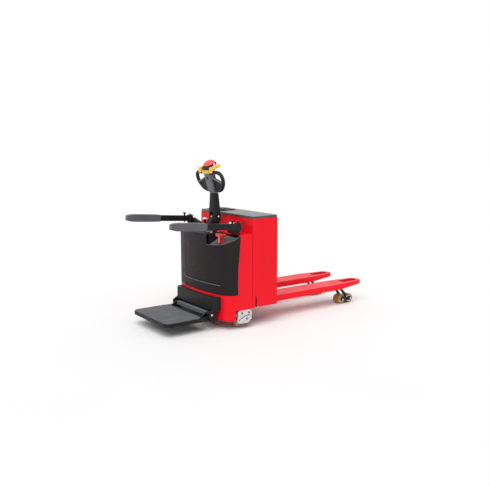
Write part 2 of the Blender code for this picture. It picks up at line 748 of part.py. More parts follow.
def side_arm(side):
    """Bent bar from its hinge forward beside the operator."""
    x, y = ARM_HINGE
    low, high = SIDE_ARM_Z - 0.0275, SIDE_ARM_Z + 0.0275
    knuckle = disc((x, side * y), 0.026, low, high, sides=24)
    corners = [(-0.425, 0.327, 0), (-0.425, 0.363, 0), (-0.700, 0.363, 0.004)]
    corners += [(-0.975, 0.363, 0.008), (-0.975, 0.335, 0.008), (-0.700, 0.330, 0.004)]
    bar = rounded(corners, 3)
    if side == NEAR:
        bar = [(a, -b) for a, b in reversed(bar)]
    join(knuckle, raised_to_pad(prism(bar, SIDE_ARM_Z - 0.023, SIDE_ARM_Z + 0.023)))
    cut(knuckle, disc((x, side * y), 0.0081, low - 0.01, high + 0.01, sides=16))
    cut(knuckle, disc((x - LATCH_AHEAD, side * y), 0.0062, SIDE_ARM_Z - 0.03, SIDE_ARM_Z + 0.03, sides=12))
    return knuckle


def arm_grip(side):
    """Padded sleeve round the front of one side arm."""
    shape = [(-0.712, 0.0240, 0.0265), (-0.722, 0.0275, 0.0290), (-0.962, 0.0275, 0.0290)]
    shape += [(-0.992, 0.0235, 0.0245), (-1.006, 0.0150, 0.0165)]
    sections = []
    for x, half, rise in shape:
        ring = rectangle((-half, half), (-rise, rise), min(half, rise) * 0.42, 3)
        sections.append([(x, side * 0.347 + a, SIDE_ARM_Z + b) for a, b in ring])
    grip = raised_to_pad(lofted(sections))
    hole_z = (SIDE_ARM_Z - 0.0236, SIDE_ARM_Z + 0.0236)
    return cut(grip, raised_to_pad(block((-0.977, -0.69), mirrored(side, 0.3268, 0.3642), hole_z)))


def arm_latch(side):
    """Bright latch pin with a cross knob, beside the arm's hinge."""
    x, y = ARM_HINGE[0] - LATCH_AHEAD, side * ARM_HINGE[1]
    pin = disc((x, y), 0.0055, SIDE_ARM_Z - 0.028, SIDE_ARM_Z + 0.052, sides=12)
    knob_z = SIDE_ARM_Z + 0.050
    return join(pin, swept([(x, y - 0.015, knob_z), (x, y + 0.015, knob_z)], 0.0058, 8))


def caster_fork(side):
    """Swivel head and the two legs of one caster."""
    x, y = CASTER[0], side * CASTER[1]
    head = disc((x, y), 0.024, 0.118, SKIRT_STEP_Z - GAP, sides=24)
    join(head, block((x - 0.040, x + 0.022), (y - 0.0245, y + 0.0245), (0.094, 0.124)))
    axle = (x - CASTER_TRAIL, CASTER_RADIUS)
    for leg in (-1, 1):
        low, high = sorted((y + leg * 0.0175, y + leg * 0.0225))
        shape = [(x - 0.038, 0.100), (x - 0.036, 0.030), (x - 0.008, 0.030), (x + 0.016, 0.100)]
        join(head, prism(shape, low, high, "Y"))
    cut(head, disc(axle, CASTER_RADIUS + 0.018, y - 0.0165, y + 0.0165, "Y", 24))
    return join(head, disc(axle, 0.006, y - 0.026, y + 0.026, "Y", 12))


def caster_wheel(side):
    profile = wheel_profile(0.0065, CASTER_RADIUS, 0.0140, 0.005, side * CASTER[1])
    return turned(profile, (CASTER[0] - CASTER_TRAIL, CASTER_RADIUS), "Y", 24)


# ---------------------------------------------------------------- carriage

def battery_box():
    """Welded box with the battery bay above and the crank bay below, open at top and bottom."""
    box = block((BOX_FRONT_X, BOX_REAR_X), (-BOX_HALF, BOX_HALF), (BOX_BOTTOM, BOX_TOP))
    inner_x, inner_y = (BOX_FRONT_X + SHEET, BOX_REAR_X - SHEET), BOX_HALF - SHEET
    cut(box, block(inner_x, (-inner_y, inner_y), (BOX_FLOOR_Z[1], BOX_TOP + 0.02)))
    cut(box, block(inner_x, (-inner_y, inner_y), (BOX_BOTTOM - 0.02, BOX_FLOOR_Z[0])))
    chamfer = [(SLOT_X[1] - 0.001, 0.1665), (-0.231, 0.152), (-0.231, 0.14), (SLOT_X[1] - 0.001, 0.14)]
    for side in SIDES.values():
        reach = mirrored(side, 0.340, 0.380)
        cut(box, block(SLOT_X, reach, (0.13, SLOT_TOP)))
        cut(box, prism(chamfer, *reach, "Y"))
        # ways out for the crank's tail and for the push rod
        cut(box, block((-0.32, -0.29), mirrored(side, 0.144, 0.166), (0.13, BOX_FLOOR_Z[0] - 0.0001)))
        cut(box, block((-0.075, -0.05), mirrored(side, 0.180, 0.206), (0.168, 0.194)))
    join(box, block((-0.362, BOX_FRONT_X + 0.002), (-0.034, 0.034), (0.6205, 0.634)))
    return box


def battery():
    """Traction battery in its steel tray."""
    low = BOX_FLOOR_Z[1] + GAP
    cell_block = block((-0.293, -0.071), (-0.350, 0.350), (low, 0.815))
    for k in range(5):
        y = -0.234 + 0.117 * k
        cut(cell_block, block((-0.30, -0.06), (y - 0.002, y + 0.002), (0.800, 0.83)))
    return cell_block


def battery_lid():
    """Moulded lid with a recessed handle, hinged along the fork side."""
    half = BOX_HALF + 0.002
    outline = rectangle((BOX_FRONT_X - 0.004, BOX_REAR_X + 0.004), (-half, half), 0.024)
    lid = prism(outline, BOX_TOP + GAP, LID_TOP)
    inner = BOX_HALF - 0.014
    inside = rectangle((BOX_FRONT_X + 0.012, BOX_REAR_X - 0.012), (-inner, inner), 0.010, 3)
    cut(lid, prism(inside, 0.83, LID_TOP - 0.005))
    grip = rectangle((-0.270, -0.200), (0.090, 0.250), 0.014, 3)
    join(lid, prism(grip, 0.846, LID_TOP - 0.004))
    hollow = rectangle((-0.262, -0.208), (0.098, 0.242), 0.010, 3)
    return cut(lid, prism(hollow, 0.851, LID_TOP + 0.02))


def fork(side):
    """Fork: a channel open below, with a taper at its tip and a slot over the load wheels."""
    start = BOX_REAR_X + GAP
    made = prism(fork_plan(0, start), FORK_BOTTOM, FORK_TOP)
    slope = (TIP_BOTTOM - FORK_BOTTOM) / (FORK_TIP_X - TAPER_X)
    end_x = FORK_TIP_X + 0.02
    wedge = [(TAPER_X, FORK_BOTTOM), (TAPER_X, 0.12), (end_x, 0.12)]
    wedge.append((end_x, FORK_BOTTOM + slope * (end_x - TAPER_X)))
    cut(made, prism(wedge, -0.12, 0.12, "Y"))
    inside = fork_plan(SHEET, start + SHEET)
    inside = [(min(x, 0.990), y) for x, y in inside]
    cut(made, prism(inside, 0.12, FORK_TOP - SHEET))
    cut(made, prism(rectangle(SLOT_ENDS_X, (-SLOT_HALF, SLOT_HALF), 0.026), 0.17, 0.21))
    rod_hole = (-0.012, 0.016) if side == FAR else (-0.016, 0.012)
    cut(made, block((-0.07, -0.05), rod_hole, (0.168, 0.189)))
    for obj in (made, *(m.object for m in made.modifiers)):
        obj.data.transform(Matrix.Translation((0, side * FORK_CENTRE_Y, 0)))
    return made


def lift_rod():
    return disc(LIFT_RAM, 0.0127, 0.392, 0.6201, sides=24)


def bell_crank():
    """Cross shaft with two short arms for the push rods and two tails anchored to the tractor."""
    shaft = disc(CRANK, 0.012, -0.300, 0.300, "Y", 16)
    swing = CRANK_SWEEP / 2
    foot = (CRANK[0] + CRANK_ARM * sin(swing), CRANK[1] - CRANK_ARM * cos(swing))
    tail = (CRANK[0] - CRANK_TAIL * cos(swing), CRANK[1] - CRANK_TAIL * sin(swing))
    for side in SIDES.values():
        join(shaft, plate_link(CRANK, foot, 0.008, *mirrored(side, 0.1845, 0.1940)))
        join(shaft, plate_link(CRANK, tail, 0.009, *mirrored(side, 0.150, 0.160)))
    return shaft


def push_rod(side):
    lever_x = ARM_PIVOT[0] + LEVER * sin(ARM_SWEEP / 2)
    crank_x = CRANK[0] + CRANK_ARM * sin(CRANK_SWEEP / 2)
    return block((crank_x - 0.012, lever_x + 0.012), mirrored(side, 0.1945, 0.2015), (0.1755, 0.1865))


def load_arm(side):
    """Swinging arm: two cheeks, a cross tube at the fork pivot and a short lever for the push rod."""
    centre = side * FORK_CENTRE_Y
    pin = (BOGIE_X, BOGIE_PIN_Z)
    arm = disc(ARM_PIVOT, 0.0115, centre - 0.070, centre + 0.070, "Y", 16)
    swing = ARM_SWEEP / 2
    lever = (ARM_PIVOT[0] + LEVER * sin(swing), ARM_PIVOT[1] + LEVER * cos(swing))
    join(arm, plate_link(ARM_PIVOT, lever, 0.006, *mirrored(side, 0.1845, 0.1940)))
    for offset in (-0.0455, 0.0395):
        cheek = plate_link(ARM_PIVOT, pin, CHEEK_RADIUS, centre + offset, centre + offset + 0.006)
        join(arm, cheek)
    return cut(arm, disc(pin, BOGIE_PIN_HOLE, centre - 0.06, centre + 0.06, "Y", 12))


def bogie_pin(side):
    """Pin that joins the load arm to the bogie."""
    centre = side * FORK_CENTRE_Y
    ends = (centre - BOGIE_REACH, centre + BOGIE_REACH)
    return disc((BOGIE_X, BOGIE_PIN_Z), BOGIE_PIN_RADIUS, *ends, "Y", 12)


def bogie(side):
    """Rocking beam that carries two load wheels: two triangular plates joined by two axles."""
    centre = side * FORK_CENTRE_Y
    half, z = LOAD_WHEEL_PITCH / 2, LOAD_WHEEL_RADIUS
    ends = (centre - BOGIE_REACH, centre + BOGIE_REACH)
    frame = disc((BOGIE_X - half, z), LOAD_AXLE_RADIUS, *ends, "Y", 12)
    foot, shoulder = half + 0.016, half + 0.014
    corners = [
        (BOGIE_X - foot, z - 0.014, 0.010),
        (BOGIE_X + foot, z - 0.014, 0.010),
        (BOGIE_X + shoulder, z + 0.012, 0.010),
        (BOGIE_X, z + 0.037, 0.012),
        (BOGIE_X - shoulder, z + 0.012, 0.010),
    ]
    for low in (-0.0515, 0.0465):
        join(frame, prism(rounded(corners, 2), centre + low, centre + low + 0.005, "Y"))
    join(frame, disc((BOGIE_X + half, z), LOAD_AXLE_RADIUS, *ends, "Y", 12))
    return cut(frame, disc((BOGIE_X, BOGIE_PIN_Z), BOGIE_PIN_HOLE, centre - 0.06, centre + 0.06, "Y", 12))


def wheel_profile(bore, radius, half, chamfer, centre=0.0):
    """Half section of a plain wheel: a bore, two flat sides and a chamfered tread."""
    section = [(bore, -half), (radius - chamfer, -half), (radius, chamfer - half)]
    section += [(r, -at) for r, at in reversed(section)]
    return [(r, centre + at) for r, at in section]


def load_wheel(side, end):
    profile = wheel_profile(0.0080, LOAD_WHEEL_RADIUS, LOAD_WHEEL_HALF, 0.003, side * FORK_CENTRE_Y)
    return turned(profile, (BOGIE_X + end * LOAD_WHEEL_PITCH / 2, LOAD_WHEEL_RADIUS), "Y", 24)


# ---------------------------------------------------------------- assembly

def finishes():
    """Every finish by name."""
    dielectric = {
        "red_paint": ((0.78, 0.02, 0.03), 0.30),
        "cover_black": ((0.030, 0.027, 0.028), 0.45),
        "black_paint": ((0.020, 0.020, 0.022), 0.40),
        "handle_black": ((0.030, 0.031, 0.033), 0.50),
        "head_grey": ((0.13, 0.13, 0.14), 0.50),
        "lid_black": ((0.035, 0.038, 0.040), 0.18),
        "step_rubber": ((0.075, 0.078, 0.082), 0.75),
        "grip_grey": ((0.10, 0.10, 0.105), 0.70),
        "battery_case": ((0.040, 0.045, 0.050), 0.55),
        "yellow_plastic": ((0.80, 0.52, 0.06), 0.40),
        "red_plastic": ((0.75, 0.05, 0.06), 0.35),
        "grey_plastic": ((0.45, 0.46, 0.48), 0.40),
        "polyurethane": ((0.42, 0.27, 0.06), 0.45),
        "drive_tread": ((0.05, 0.04, 0.035), 0.75),
    }
    made = {name: material(name, *look) for name, look in dielectric.items()}
    made["bright_steel"] = material("bright_steel", (0.62, 0.63, 0.64), 0.28, 1.0)
    made["cast_iron"] = material("cast_iron", (0.10, 0.10, 0.11), 0.55, 0.6)
    made["aluminium_case"] = material("aluminium_case", (0.30, 0.31, 0.32), 0.45, 1.0)
    return made


def assemble_chassis(finish):
    chassis = Body("chassis")
    chassis.add(tractor_frame(), "tractor_frame", finish["red_paint"])
    chassis.add(front_cover(), "front_cover", finish["cover_black"])
    chassis.add(platform_bracket(), "platform_bracket", finish["black_paint"])
    chassis.add(hydraulic_unit(), "hydraulic_unit", finish["aluminium_case"])
    chassis.add(motor_controller(), "motor_controller", finish["aluminium_case"])
    chassis.add(lift_cylinder(), "lift_cylinder", finish["cast_iron"])
    for name, side in SIDES.items():
        chassis.add(side_arm_bracket(side), "arm_bracket_" + name, finish["black_paint"])
        chassis.add(caster_guard(side), "caster_guard_" + name, finish["bright_steel"])
    disconnect = Body("disconnect", (*DISCONNECT, 0.690))
    disconnect.add(emergency_handle(), "emergency_handle", finish["red_plastic"])
    key_body = Body("key", (*KEY, COVER_TOP))
    key_body.add(ignition_key(), "ignition_key", finish["bright_steel"])
    step = Body("step", (STEP_HINGE[0], 0, STEP_HINGE[1]))
    step.add(step_plate(), "step_plate", finish["black_paint"])
    step.add(step_mat(), "step_mat", finish["step_rubber"])


def assemble_steering(finish):
    """The drive unit that turns with the tiller. Returns its body."""
    steering = Body("steering", (STEER_X, 0, 0))
    steering.add(drive_gearbox(), "drive_gearbox", finish["cast_iron"])
    steering.add(drive_motor(), "drive_motor", finish["cast_iron"])
    steering.add(steering_shaft(), "steering_shaft", finish["bright_steel"])
    steering.add(tiller_base(), "tiller_base", finish["black_paint"])
    drive_wheel = Body("drive_wheel", (STEER_X, 0, DRIVE_RADIUS), steering)
    drive_wheel.add(drive_tyre(), "drive_tyre", finish["drive_tread"])
    drive_wheel.add(drive_hub(), "drive_hub", finish["cast_iron"])
    return steering


def assemble_tiller(finish, steering):
    tiller = Body("tiller", (TILLER_PIVOT[0], 0, TILLER_PIVOT[1]), steering)
    tiller.add(tiller_column(), "tiller_column", finish["black_paint"])
    tiller.add(tiller_head(), "tiller_head", finish["head_grey"])
    tiller.add(switch_collar(), "switch_collar", finish["handle_black"])
    tiller.add(head_band(), "head_band", finish["yellow_plastic"])
    for name, side in SIDES.items():
        tiller.add(handle_loop(side), "handle_loop_" + name, finish["handle_black"])
    throttle_body = Body("throttle", lean_point(0, THROTTLE_UP), tiller)
    throttle_body.add(throttle(), "throttle", finish["yellow_plastic"])
    belly = Body("belly_button", lean_point(0, 0.220), tiller)
    belly.add(belly_button(), "belly_button", finish["red_plastic"])
    horn = Body("horn_button", lean_point(0, HORN_UP, 0.026), tiller)
    horn.add(push_button(0, HORN_UP, 0.0190, 0.0330, 0.0110), "horn_button", finish["handle_black"])
    for name, side in (("lift_button", NEAR), ("lower_button", FAR)):
        y = side * SWITCH_Y
        switch = Body(name, lean_point(y, SWITCH_UP, -0.058), tiller)
        switch.add(push_button(y, SWITCH_UP, -0.0530, -0.0665, 0.0080), name, finish["grey_plastic"])


def assemble_side(finish, name, side):
    """Side arm and caster of one side."""
    x, y = ARM_HINGE[0], side * ARM_HINGE[1]
    arm = Body("side_arm_" + name, (x, y, SIDE_ARM_Z))
    arm.add(side_arm(side), "side_arm_" + name, finish["black_paint"])
    arm.add(arm_grip(side), "arm_grip_" + name, finish["grip_grey"])
    latch = Body("arm_latch_" + name, (x - LATCH_AHEAD, y, SIDE_ARM_Z), arm)
    latch.add(arm_latch(side), "arm_latch_" + name, finish["bright_steel"])
    x, y = CASTER[0], side * CASTER[1]
    swivel = Body("caster_" + name, (x, y, SKIRT_STEP_Z))
    swivel.add(caster_fork(side), "caster_fork_" + name, finish["bright_steel"])
    roller = Body("caster_wheel_" + name, (x - CASTER_TRAIL, y, CASTER_RADIUS), swivel)
    roller.add(caster_wheel(side), "caster_wheel_" + name, finish["polyurethane"])


def assemble_carriage(finish):
    """The lifted half: battery box, lid, bell crank and forks. Returns its body."""
    carriage = Body("carriage", (BOX_FRONT_X, 0, BOX_BOTTOM))
    carriage.add(battery_box(), "battery_box", finish["red_paint"])
    carriage.add(battery(), "battery", finish["battery_case"])
    carriage.add(lift_rod(), "lift_rod", finish["bright_steel"])
    lid = Body("lid", (BOX_REAR_X + 0.004, 0, BOX_TOP), carriage)
    lid.add(battery_lid(), "battery_lid", finish["lid_black"])
    crank = Body("crank", (CRANK[0], 0, CRANK[1]), carriage)
    crank.add(bell_crank(), "bell_crank", finish["cast_iron"])
    return carriage


def assemble_fork(finish, carriage, name, side):
    """One fork with its push rod, load arm, bogie and two load wheels."""
    centre = side * FORK_CENTRE_Y
    carriage.add(fork(side), "fork_" + name, finish["red_paint"])
    rod = Body("push_rod_" + name, (CRANK[0], centre, 0.181), carriage)
    rod.add(push_rod(side), "push_rod_" + name, finish["bright_steel"])
    arm = Body("load_arm_" + name, (ARM_PIVOT[0], centre, ARM_PIVOT[1]), carriage)
    arm.add(load_arm(side), "load_arm_" + name, finish["black_paint"])
    pin = Body("bogie_pin_" + name, (BOGIE_X, centre, BOGIE_PIN_Z), arm)
    pin.add(bogie_pin(side), "bogie_pin_" + name, finish["bright_steel"])
    beam = Body("bogie_" + name, (BOGIE_X, centre, BOGIE_PIN_Z), pin)
    beam.add(bogie(side), "bogie_" + name, finish["black_paint"])
    for label, end in (("rear", -1), ("front", 1)):
        piece = "load_wheel_" + name + "_" + label
        wheel_x = BOGIE_X + end * LOAD_WHEEL_PITCH / 2
        wheel = Body(piece, (wheel_x, centre, LOAD_WHEEL_RADIUS), beam)
        wheel.add(load_wheel(side, end), piece, finish["polyurethane"])


def build():
    clear_scene()
    finish = finishes()
    assemble_chassis(finish)
    assemble_tiller(finish, assemble_steering(finish))
    carriage = assemble_carriage(finish)
    for name, side in SIDES.items():
        assemble_side(finish, name, side)
        assemble_fork(finish, carriage, name, side)


build()
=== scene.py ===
"""Finishes and fine detail of a ride-on electric pallet truck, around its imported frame.

Metres, +X along the forks to their tips, +Z up. "near" is the -Y side and "far" the +Y side.
"""

import json
from math import cos, pi, radians, sin

import bpy
from mathutils import Matrix, Vector


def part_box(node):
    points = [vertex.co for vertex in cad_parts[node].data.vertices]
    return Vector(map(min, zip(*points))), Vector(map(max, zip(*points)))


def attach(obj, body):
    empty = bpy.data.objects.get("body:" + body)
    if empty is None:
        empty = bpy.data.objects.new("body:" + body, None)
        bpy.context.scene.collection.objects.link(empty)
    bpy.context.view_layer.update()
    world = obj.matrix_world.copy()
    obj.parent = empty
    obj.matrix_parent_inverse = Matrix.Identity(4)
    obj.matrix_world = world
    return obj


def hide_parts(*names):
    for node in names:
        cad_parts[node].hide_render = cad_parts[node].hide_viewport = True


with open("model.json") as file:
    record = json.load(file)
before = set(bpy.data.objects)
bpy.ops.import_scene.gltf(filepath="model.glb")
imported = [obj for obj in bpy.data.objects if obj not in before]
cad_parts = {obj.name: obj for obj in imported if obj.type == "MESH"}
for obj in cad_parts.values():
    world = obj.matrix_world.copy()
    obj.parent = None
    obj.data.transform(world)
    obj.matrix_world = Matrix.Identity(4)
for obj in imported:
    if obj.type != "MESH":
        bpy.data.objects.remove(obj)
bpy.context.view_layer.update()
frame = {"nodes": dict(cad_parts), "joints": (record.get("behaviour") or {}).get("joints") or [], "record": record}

SIDES = {"near": -1, "far": 1}
RECORD = frame["record"]
BODY_OF = {node: body for body, nodes in RECORD["behaviour"]["bodies"].items() for node in nodes}
SLOT_OF = {row["node"]: row["material_slot"] for row in RECORD["subparts"]}
JOINT = {joint["name"]: joint for joint in frame["joints"]}

# The handle's leaning plane, and where its parts sit along it
HEAD_LEAN = radians(19)
HEAD_ROOT = (-0.408, 1.045)
LOOP_RADIUS = 0.0142
LOOP_OUT = 0.006
DOME_OUT = -0.024
DOME_FALL = 0.16  # slope of the dome's foot, down towards the operator

# The side arms' hinge line and their rise towards the pads
ARM_HINGE = (-0.425, 0.345, 0.7915)
ARM_RISE = radians(4.1)
ARM_SEAT_Z = 0.763  # top of the arms' brackets
PAD_X = (-1.006, -0.712)
PAD_Y = 0.347
PAD_HALF_WIDTH, PAD_HALF_HEIGHT = 0.0275, 0.029

# The tractor's bowed front and its side faces
NOSE_X, NOSE_RADIUS = -0.578, 1.20
NOSE_CORNER = 0.085
HALF_WIDTH = 0.3655

# The tray's rim at its rear end, and its rise towards it
TRAY_REAR_X, TRAY_REAR_Z = -0.412, 0.725
TRAY_RISE = 0.512

STEP_HINGE = (-0.622, 0.128)  # x, z
FORK_Y = 0.1905
THROTTLE_UP = 0.184


# ---------------------------------------------------------------- hand tools

def only(obj):
    """Makes obj the one selected and active object."""
    bpy.ops.object.select_all(action="DESELECT")
    obj.select_set(True)
    bpy.context.view_layer.objects.active = obj
    return obj


def edit(obj):
    only(obj)
    bpy.ops.object.mode_set(mode="EDIT")
    bpy.ops.mesh.select_mode(type="FACE")


def leave_edit():
    bpy.ops.object.mode_set(mode="OBJECT")


def settle(obj):
    """Puts the object's place, turn and scale into its mesh."""
    only(obj)
    bpy.ops.object.transform_apply(location=True, rotation=True, scale=True)
    return obj


def modify(obj, kind, **settings):
    """Adds a modifier with these settings and applies it."""
    only(obj)
    bpy.ops.object.modifier_add(type=kind)
    added = obj.modifiers[-1]
    for key, value in settings.items():
        setattr(added, key, value)
    bpy.ops.object.modifier_apply(modifier=added.name)
    return obj


def soften(obj, width, segments=2, angle=34):
    """Rounds the sharp edges and evens out the shading of the flats."""
    only(obj)
    bpy.ops.object.shade_smooth()
    limit = {"limit_method": "ANGLE", "angle_limit": radians(angle), "use_clamp_overlap": False}
    modify(obj, "BEVEL", width=width, segments=segments, **limit)
    return modify(obj, "WEIGHTED_NORMAL", keep_sharp=True)


def smooth(obj, angle=40):
    """Smooth shading, kept crisp where faces meet at more than angle degrees."""
    only(obj)
    bpy.ops.object.shade_smooth_by_angle(angle=radians(angle))
    return obj


def pick_faces(obj, wanted):
    """Selects the faces for which wanted(centre, normal) holds, and says whether there are any."""
    mesh = obj.data
    for vertex in mesh.vertices:
        vertex.select = False
    for edge in mesh.edges:
        edge.select = False
    for face in mesh.polygons:
        face.select = wanted(face.center, face.normal)
    return any(face.select for face in mesh.polygons)


def sink(obj, wanted, *steps):
    """Insets the wanted faces by each (thickness, depth) in turn. A positive depth raises them."""
    if not pick_faces(obj, wanted):
        return obj
    edit(obj)
    for thickness, depth in steps:
        bpy.ops.mesh.inset(thickness=thickness, depth=depth, use_boundary=True)
    leave_edit()
    return obj


def slice_at(obj, *planes):
    """Cuts new edges through the mesh where it meets each (point, normal) plane."""
    edit(obj)
    for point, normal in planes:
        bpy.ops.mesh.select_all(action="SELECT")
        bpy.ops.mesh.bisect(plane_co=point, plane_no=normal)
    leave_edit()
    return obj


def cube(x, y, z):
    """A box from its x, y and z ranges."""
    middle = [(low + high) / 2 for low, high in (x, y, z)]
    size = [high - low for low, high in (x, y, z)]
    bpy.ops.mesh.primitive_cube_add(size=1, location=middle, scale=size)
    return settle(bpy.context.active_object)


def along(direction):
    """The rotation that turns +Z to a direction."""
    return Vector(direction).to_track_quat("Z", "Y").to_euler()


def rod(start, end, radius, sides=32):
    """A cylinder between two points."""
    start, end = Vector(start), Vector(end)
    bpy.ops.mesh.primitive_cylinder_add(
        vertices=sides,
        radius=radius,
        depth=(end - start).length,
        location=(start + end) / 2,
        rotation=along(end - start),
    )
    return settle(bpy.context.active_object)


def tube(points, radius, closed=False, sides=6, swell=None):
    """A round bar on a smooth curve through points. swell gives each point's share of the radius."""
    bpy.ops.curve.primitive_bezier_curve_add()
    obj = bpy.context.active_object
    obj.location = (0, 0, 0)
    spline = obj.data.splines[0]
    spline.bezier_points.add(len(points) - 2)
    for k, (knot, point) in enumerate(zip(spline.bezier_points, points)):
        knot.co = point
        knot.handle_left_type = "AUTO"
        knot.handle_right_type = "AUTO"
        knot.radius = swell[k] if swell else 1.0
    spline.use_cyclic_u = closed
    obj.data.dimensions = "3D"
    obj.data.resolution_u = 8
    obj.data.bevel_depth = radius
    obj.data.bevel_resolution = sides
    obj.data.use_fill_caps = not closed
    only(obj)
    bpy.ops.object.convert(target="MESH")
    return smooth(settle(bpy.context.active_object), 50)


def joined(parts):
    """Several pieces made into one."""
    only(parts[0])
    for part in parts[1:]:
        part.select_set(True)
    bpy.ops.object.join()
    return parts[0]


def copy_to(master, place, direction, turn=0.0):
    """A copy of a piece modelled at the origin along +Z, moved to place and turned to a direction."""
    copy = bpy.data.objects.new(master.name, master.data.copy())
    bpy.context.scene.collection.objects.link(copy)
    aim = Vector(direction).to_track_quat("Z", "Y").to_matrix().to_4x4()
    copy.data.transform(Matrix.Translation(place) @ aim @ Matrix.Rotation(turn, 4, "Z"))
    return copy


def dress(obj, name, body, finish):
    """Names a piece, gives it a finish and hangs it on its body."""
    obj.name = name
    obj.data.name = name
    obj.data.materials.clear()
    obj.data.materials.append(FINISH[finish])
    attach(obj, body)
    return obj


def merged_copy(node):
    """A copy of a CAD node as a clean mesh: one point a corner and one face a flat."""
    copy = bpy.data.objects.new(node + "_skin", frame["nodes"][node].data.copy())
    bpy.context.scene.collection.objects.link(copy)
    only(copy)
    bpy.ops.mesh.customdata_custom_splitnormals_clear()
    edit(copy)
    bpy.ops.mesh.select_all(action="SELECT")
    bpy.ops.mesh.remove_doubles(threshold=0.00002)
    bpy.ops.mesh.dissolve_limited(angle_limit=radians(0.8))
    leave_edit()
    return copy


def stand_for(obj, node, finish=None, name=None):
    """Dresses a piece and lets it stand for a CAD node."""
    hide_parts(node)
    return dress(obj, name or node + "_skin", BODY_OF[node], finish or SLOT_OF[node])


def lean_point(y, up, out=0.0):
    """A point in the handle's leaning plane: y across, up along it and out towards the operator."""
    x, z = HEAD_ROOT
    x += -up * sin(HEAD_LEAN) - out * cos(HEAD_LEAN)
    return Vector((x, y, z + up * cos(HEAD_LEAN) - out * sin(HEAD_LEAN)))


LEAN_OUT = lean_point(0, 0, 1) - lean_point(0, 0, 0)


def raised_to_pad(obj):
    """Tilts a piece built level along a side arm to the arm's own rise."""
    hinge = Matrix.Translation((ARM_HINGE[0], 0, ARM_HINGE[2]))
    obj.data.transform(hinge @ Matrix.Rotation(ARM_RISE, 4, "Y") @ hinge.inverted())
    return obj


def nose_x(y):
    """Where the bowed front of the tractor is at y."""
    return NOSE_X + NOSE_RADIUS - (NOSE_RADIUS**2 - y**2) ** 0.5


# ---------------------------------------------------------------- finishes

class Finish:
    """One procedural material. Patterns are laid on Object coordinates, so scales are per metre."""

    def __init__(self, name, colour, roughness, metallic=0.0, coat=0.0, coat_roughness=0.05, gloss=0.5):
        self.material = bpy.data.materials.new(name)
        self.material.use_nodes = True
        self.tree = self.material.node_tree
        self.shader = self.tree.nodes["Principled BSDF"]
        self.socket("Base Color").default_value = (*colour, 1.0)
        self.socket("Roughness").default_value = roughness
        self.socket("Metallic").default_value = metallic
        self.socket("Specular IOR Level").default_value = gloss
        self.socket("Coat Weight").default_value = coat
        self.socket("Coat Roughness").default_value = coat_roughness
        self.place = self.node("ShaderNodeTexCoord").outputs["Object"]

    def socket(self, name):
        return self.shader.inputs[name]

    def node(self, kind, **inputs):
        made = self.tree.nodes.new(kind)
        for key, value in inputs.items():
            target = made.inputs[key.replace("_", " ")]
            if isinstance(value, bpy.types.NodeSocket):
                self.tree.links.new(value, target)
            else:
                target.default_value = value
        return made

    def stretched(self, x, y, z):
        """Object coordinates scaled by axis, for brushed or streaked patterns."""
        return self.node("ShaderNodeMapping", Vector=self.place, Scale=(x, y, z)).outputs["Vector"]

    def noise(self, scale, detail=3.0, roughness=0.55, place=None):
        place = place or self.place
        made = self.node("ShaderNodeTexNoise", Vector=place, Scale=scale, Detail=detail, Roughness=roughness)
        return made.outputs["Fac"]

    def cells(self, scale, place=None):
        made = self.node("ShaderNodeTexVoronoi", Vector=place or self.place, Scale=scale)
        return made.outputs["Distance"]

    def spread(self, value, low, high, start=0.3, end=0.7):
        """A value mapped from start..end to low..high."""
        made = self.node("ShaderNodeMapRange", Value=value)
        for key, number in (("From Min", start), ("From Max", end), ("To Min", low), ("To Max", high)):
            made.inputs[key].default_value = number
        return made.outputs["Result"]

    def tint(self, value, first, second, start=0.3, end=0.7):
        """Base colour from first to second as value goes from start to end."""
        ramp = self.node("ShaderNodeValToRGB", Fac=value)
        ramp.color_ramp.elements[0].position = start
        ramp.color_ramp.elements[1].position = end
        ramp.color_ramp.elements[0].color = (*first, 1.0)
        ramp.color_ramp.elements[1].color = (*second, 1.0)
        self.tree.links.new(ramp.outputs["Color"], self.socket("Base Color"))
        return self

    def shine(self, value, low, high, start=0.3, end=0.7):
        """Roughness that varies from low to high with value."""
        self.tree.links.new(self.spread(value, low, high, start, end), self.socket("Roughness"))
        return self

    def relief(self, value, strength, distance):
        """Adds bump of a depth in metres, on top of any there is."""
        made = self.node("ShaderNodeBump", Height=value, Strength=strength, Distance=distance)
        normal = self.socket("Normal")
        if normal.is_linked:
            self.tree.links.new(normal.links[0].from_socket, made.inputs["Normal"])
        self.tree.links.new(made.outputs["Normal"], normal)
        return self

    def worn_and_highlit_edges(self, wear_and_highlight, amount=0.6, width=0.0022):
        """Mixes a paler colour into the base colour in patches along the edges: partly wear, partly a painted
        highlight on the rims.
        """
        rounded = self.node("ShaderNodeBevel", Radius=width)
        rounded.samples = 4
        flat = self.node("ShaderNodeNewGeometry")
        turn = self.node("ShaderNodeVectorMath")
        turn.operation = "DOT_PRODUCT"
        self.tree.links.new(rounded.outputs["Normal"], turn.inputs[0])
        self.tree.links.new(flat.outputs["Normal"], turn.inputs[1])
        # Edge mask: the paler colour along it is partly wear and partly a painted highlight.
        edge = self.spread(turn.outputs["Value"], 1.0, 0.0, 0.80, 0.985)
        share = self.node("ShaderNodeMath")
        share.operation = "MULTIPLY"
        self.tree.links.new(edge, share.inputs[0])
        patches = self.spread(self.noise(60, 4), 0.25 * amount, amount, 0.42, 0.60)
        self.tree.links.new(patches, share.inputs[1])
        mix = self.node("ShaderNodeMix")
        mix.data_type = "RGBA"
        factor, first, second = mix.inputs[0], mix.inputs[6], mix.inputs[7]
        base = self.socket("Base Color")
        first.default_value = base.default_value
        if base.is_linked:
            self.tree.links.new(base.links[0].from_socket, first)
        second.default_value = (*wear_and_highlight, 1.0)
        self.tree.links.new(share.outputs[0], factor)
        self.tree.links.new(mix.outputs[2], base)
        return self


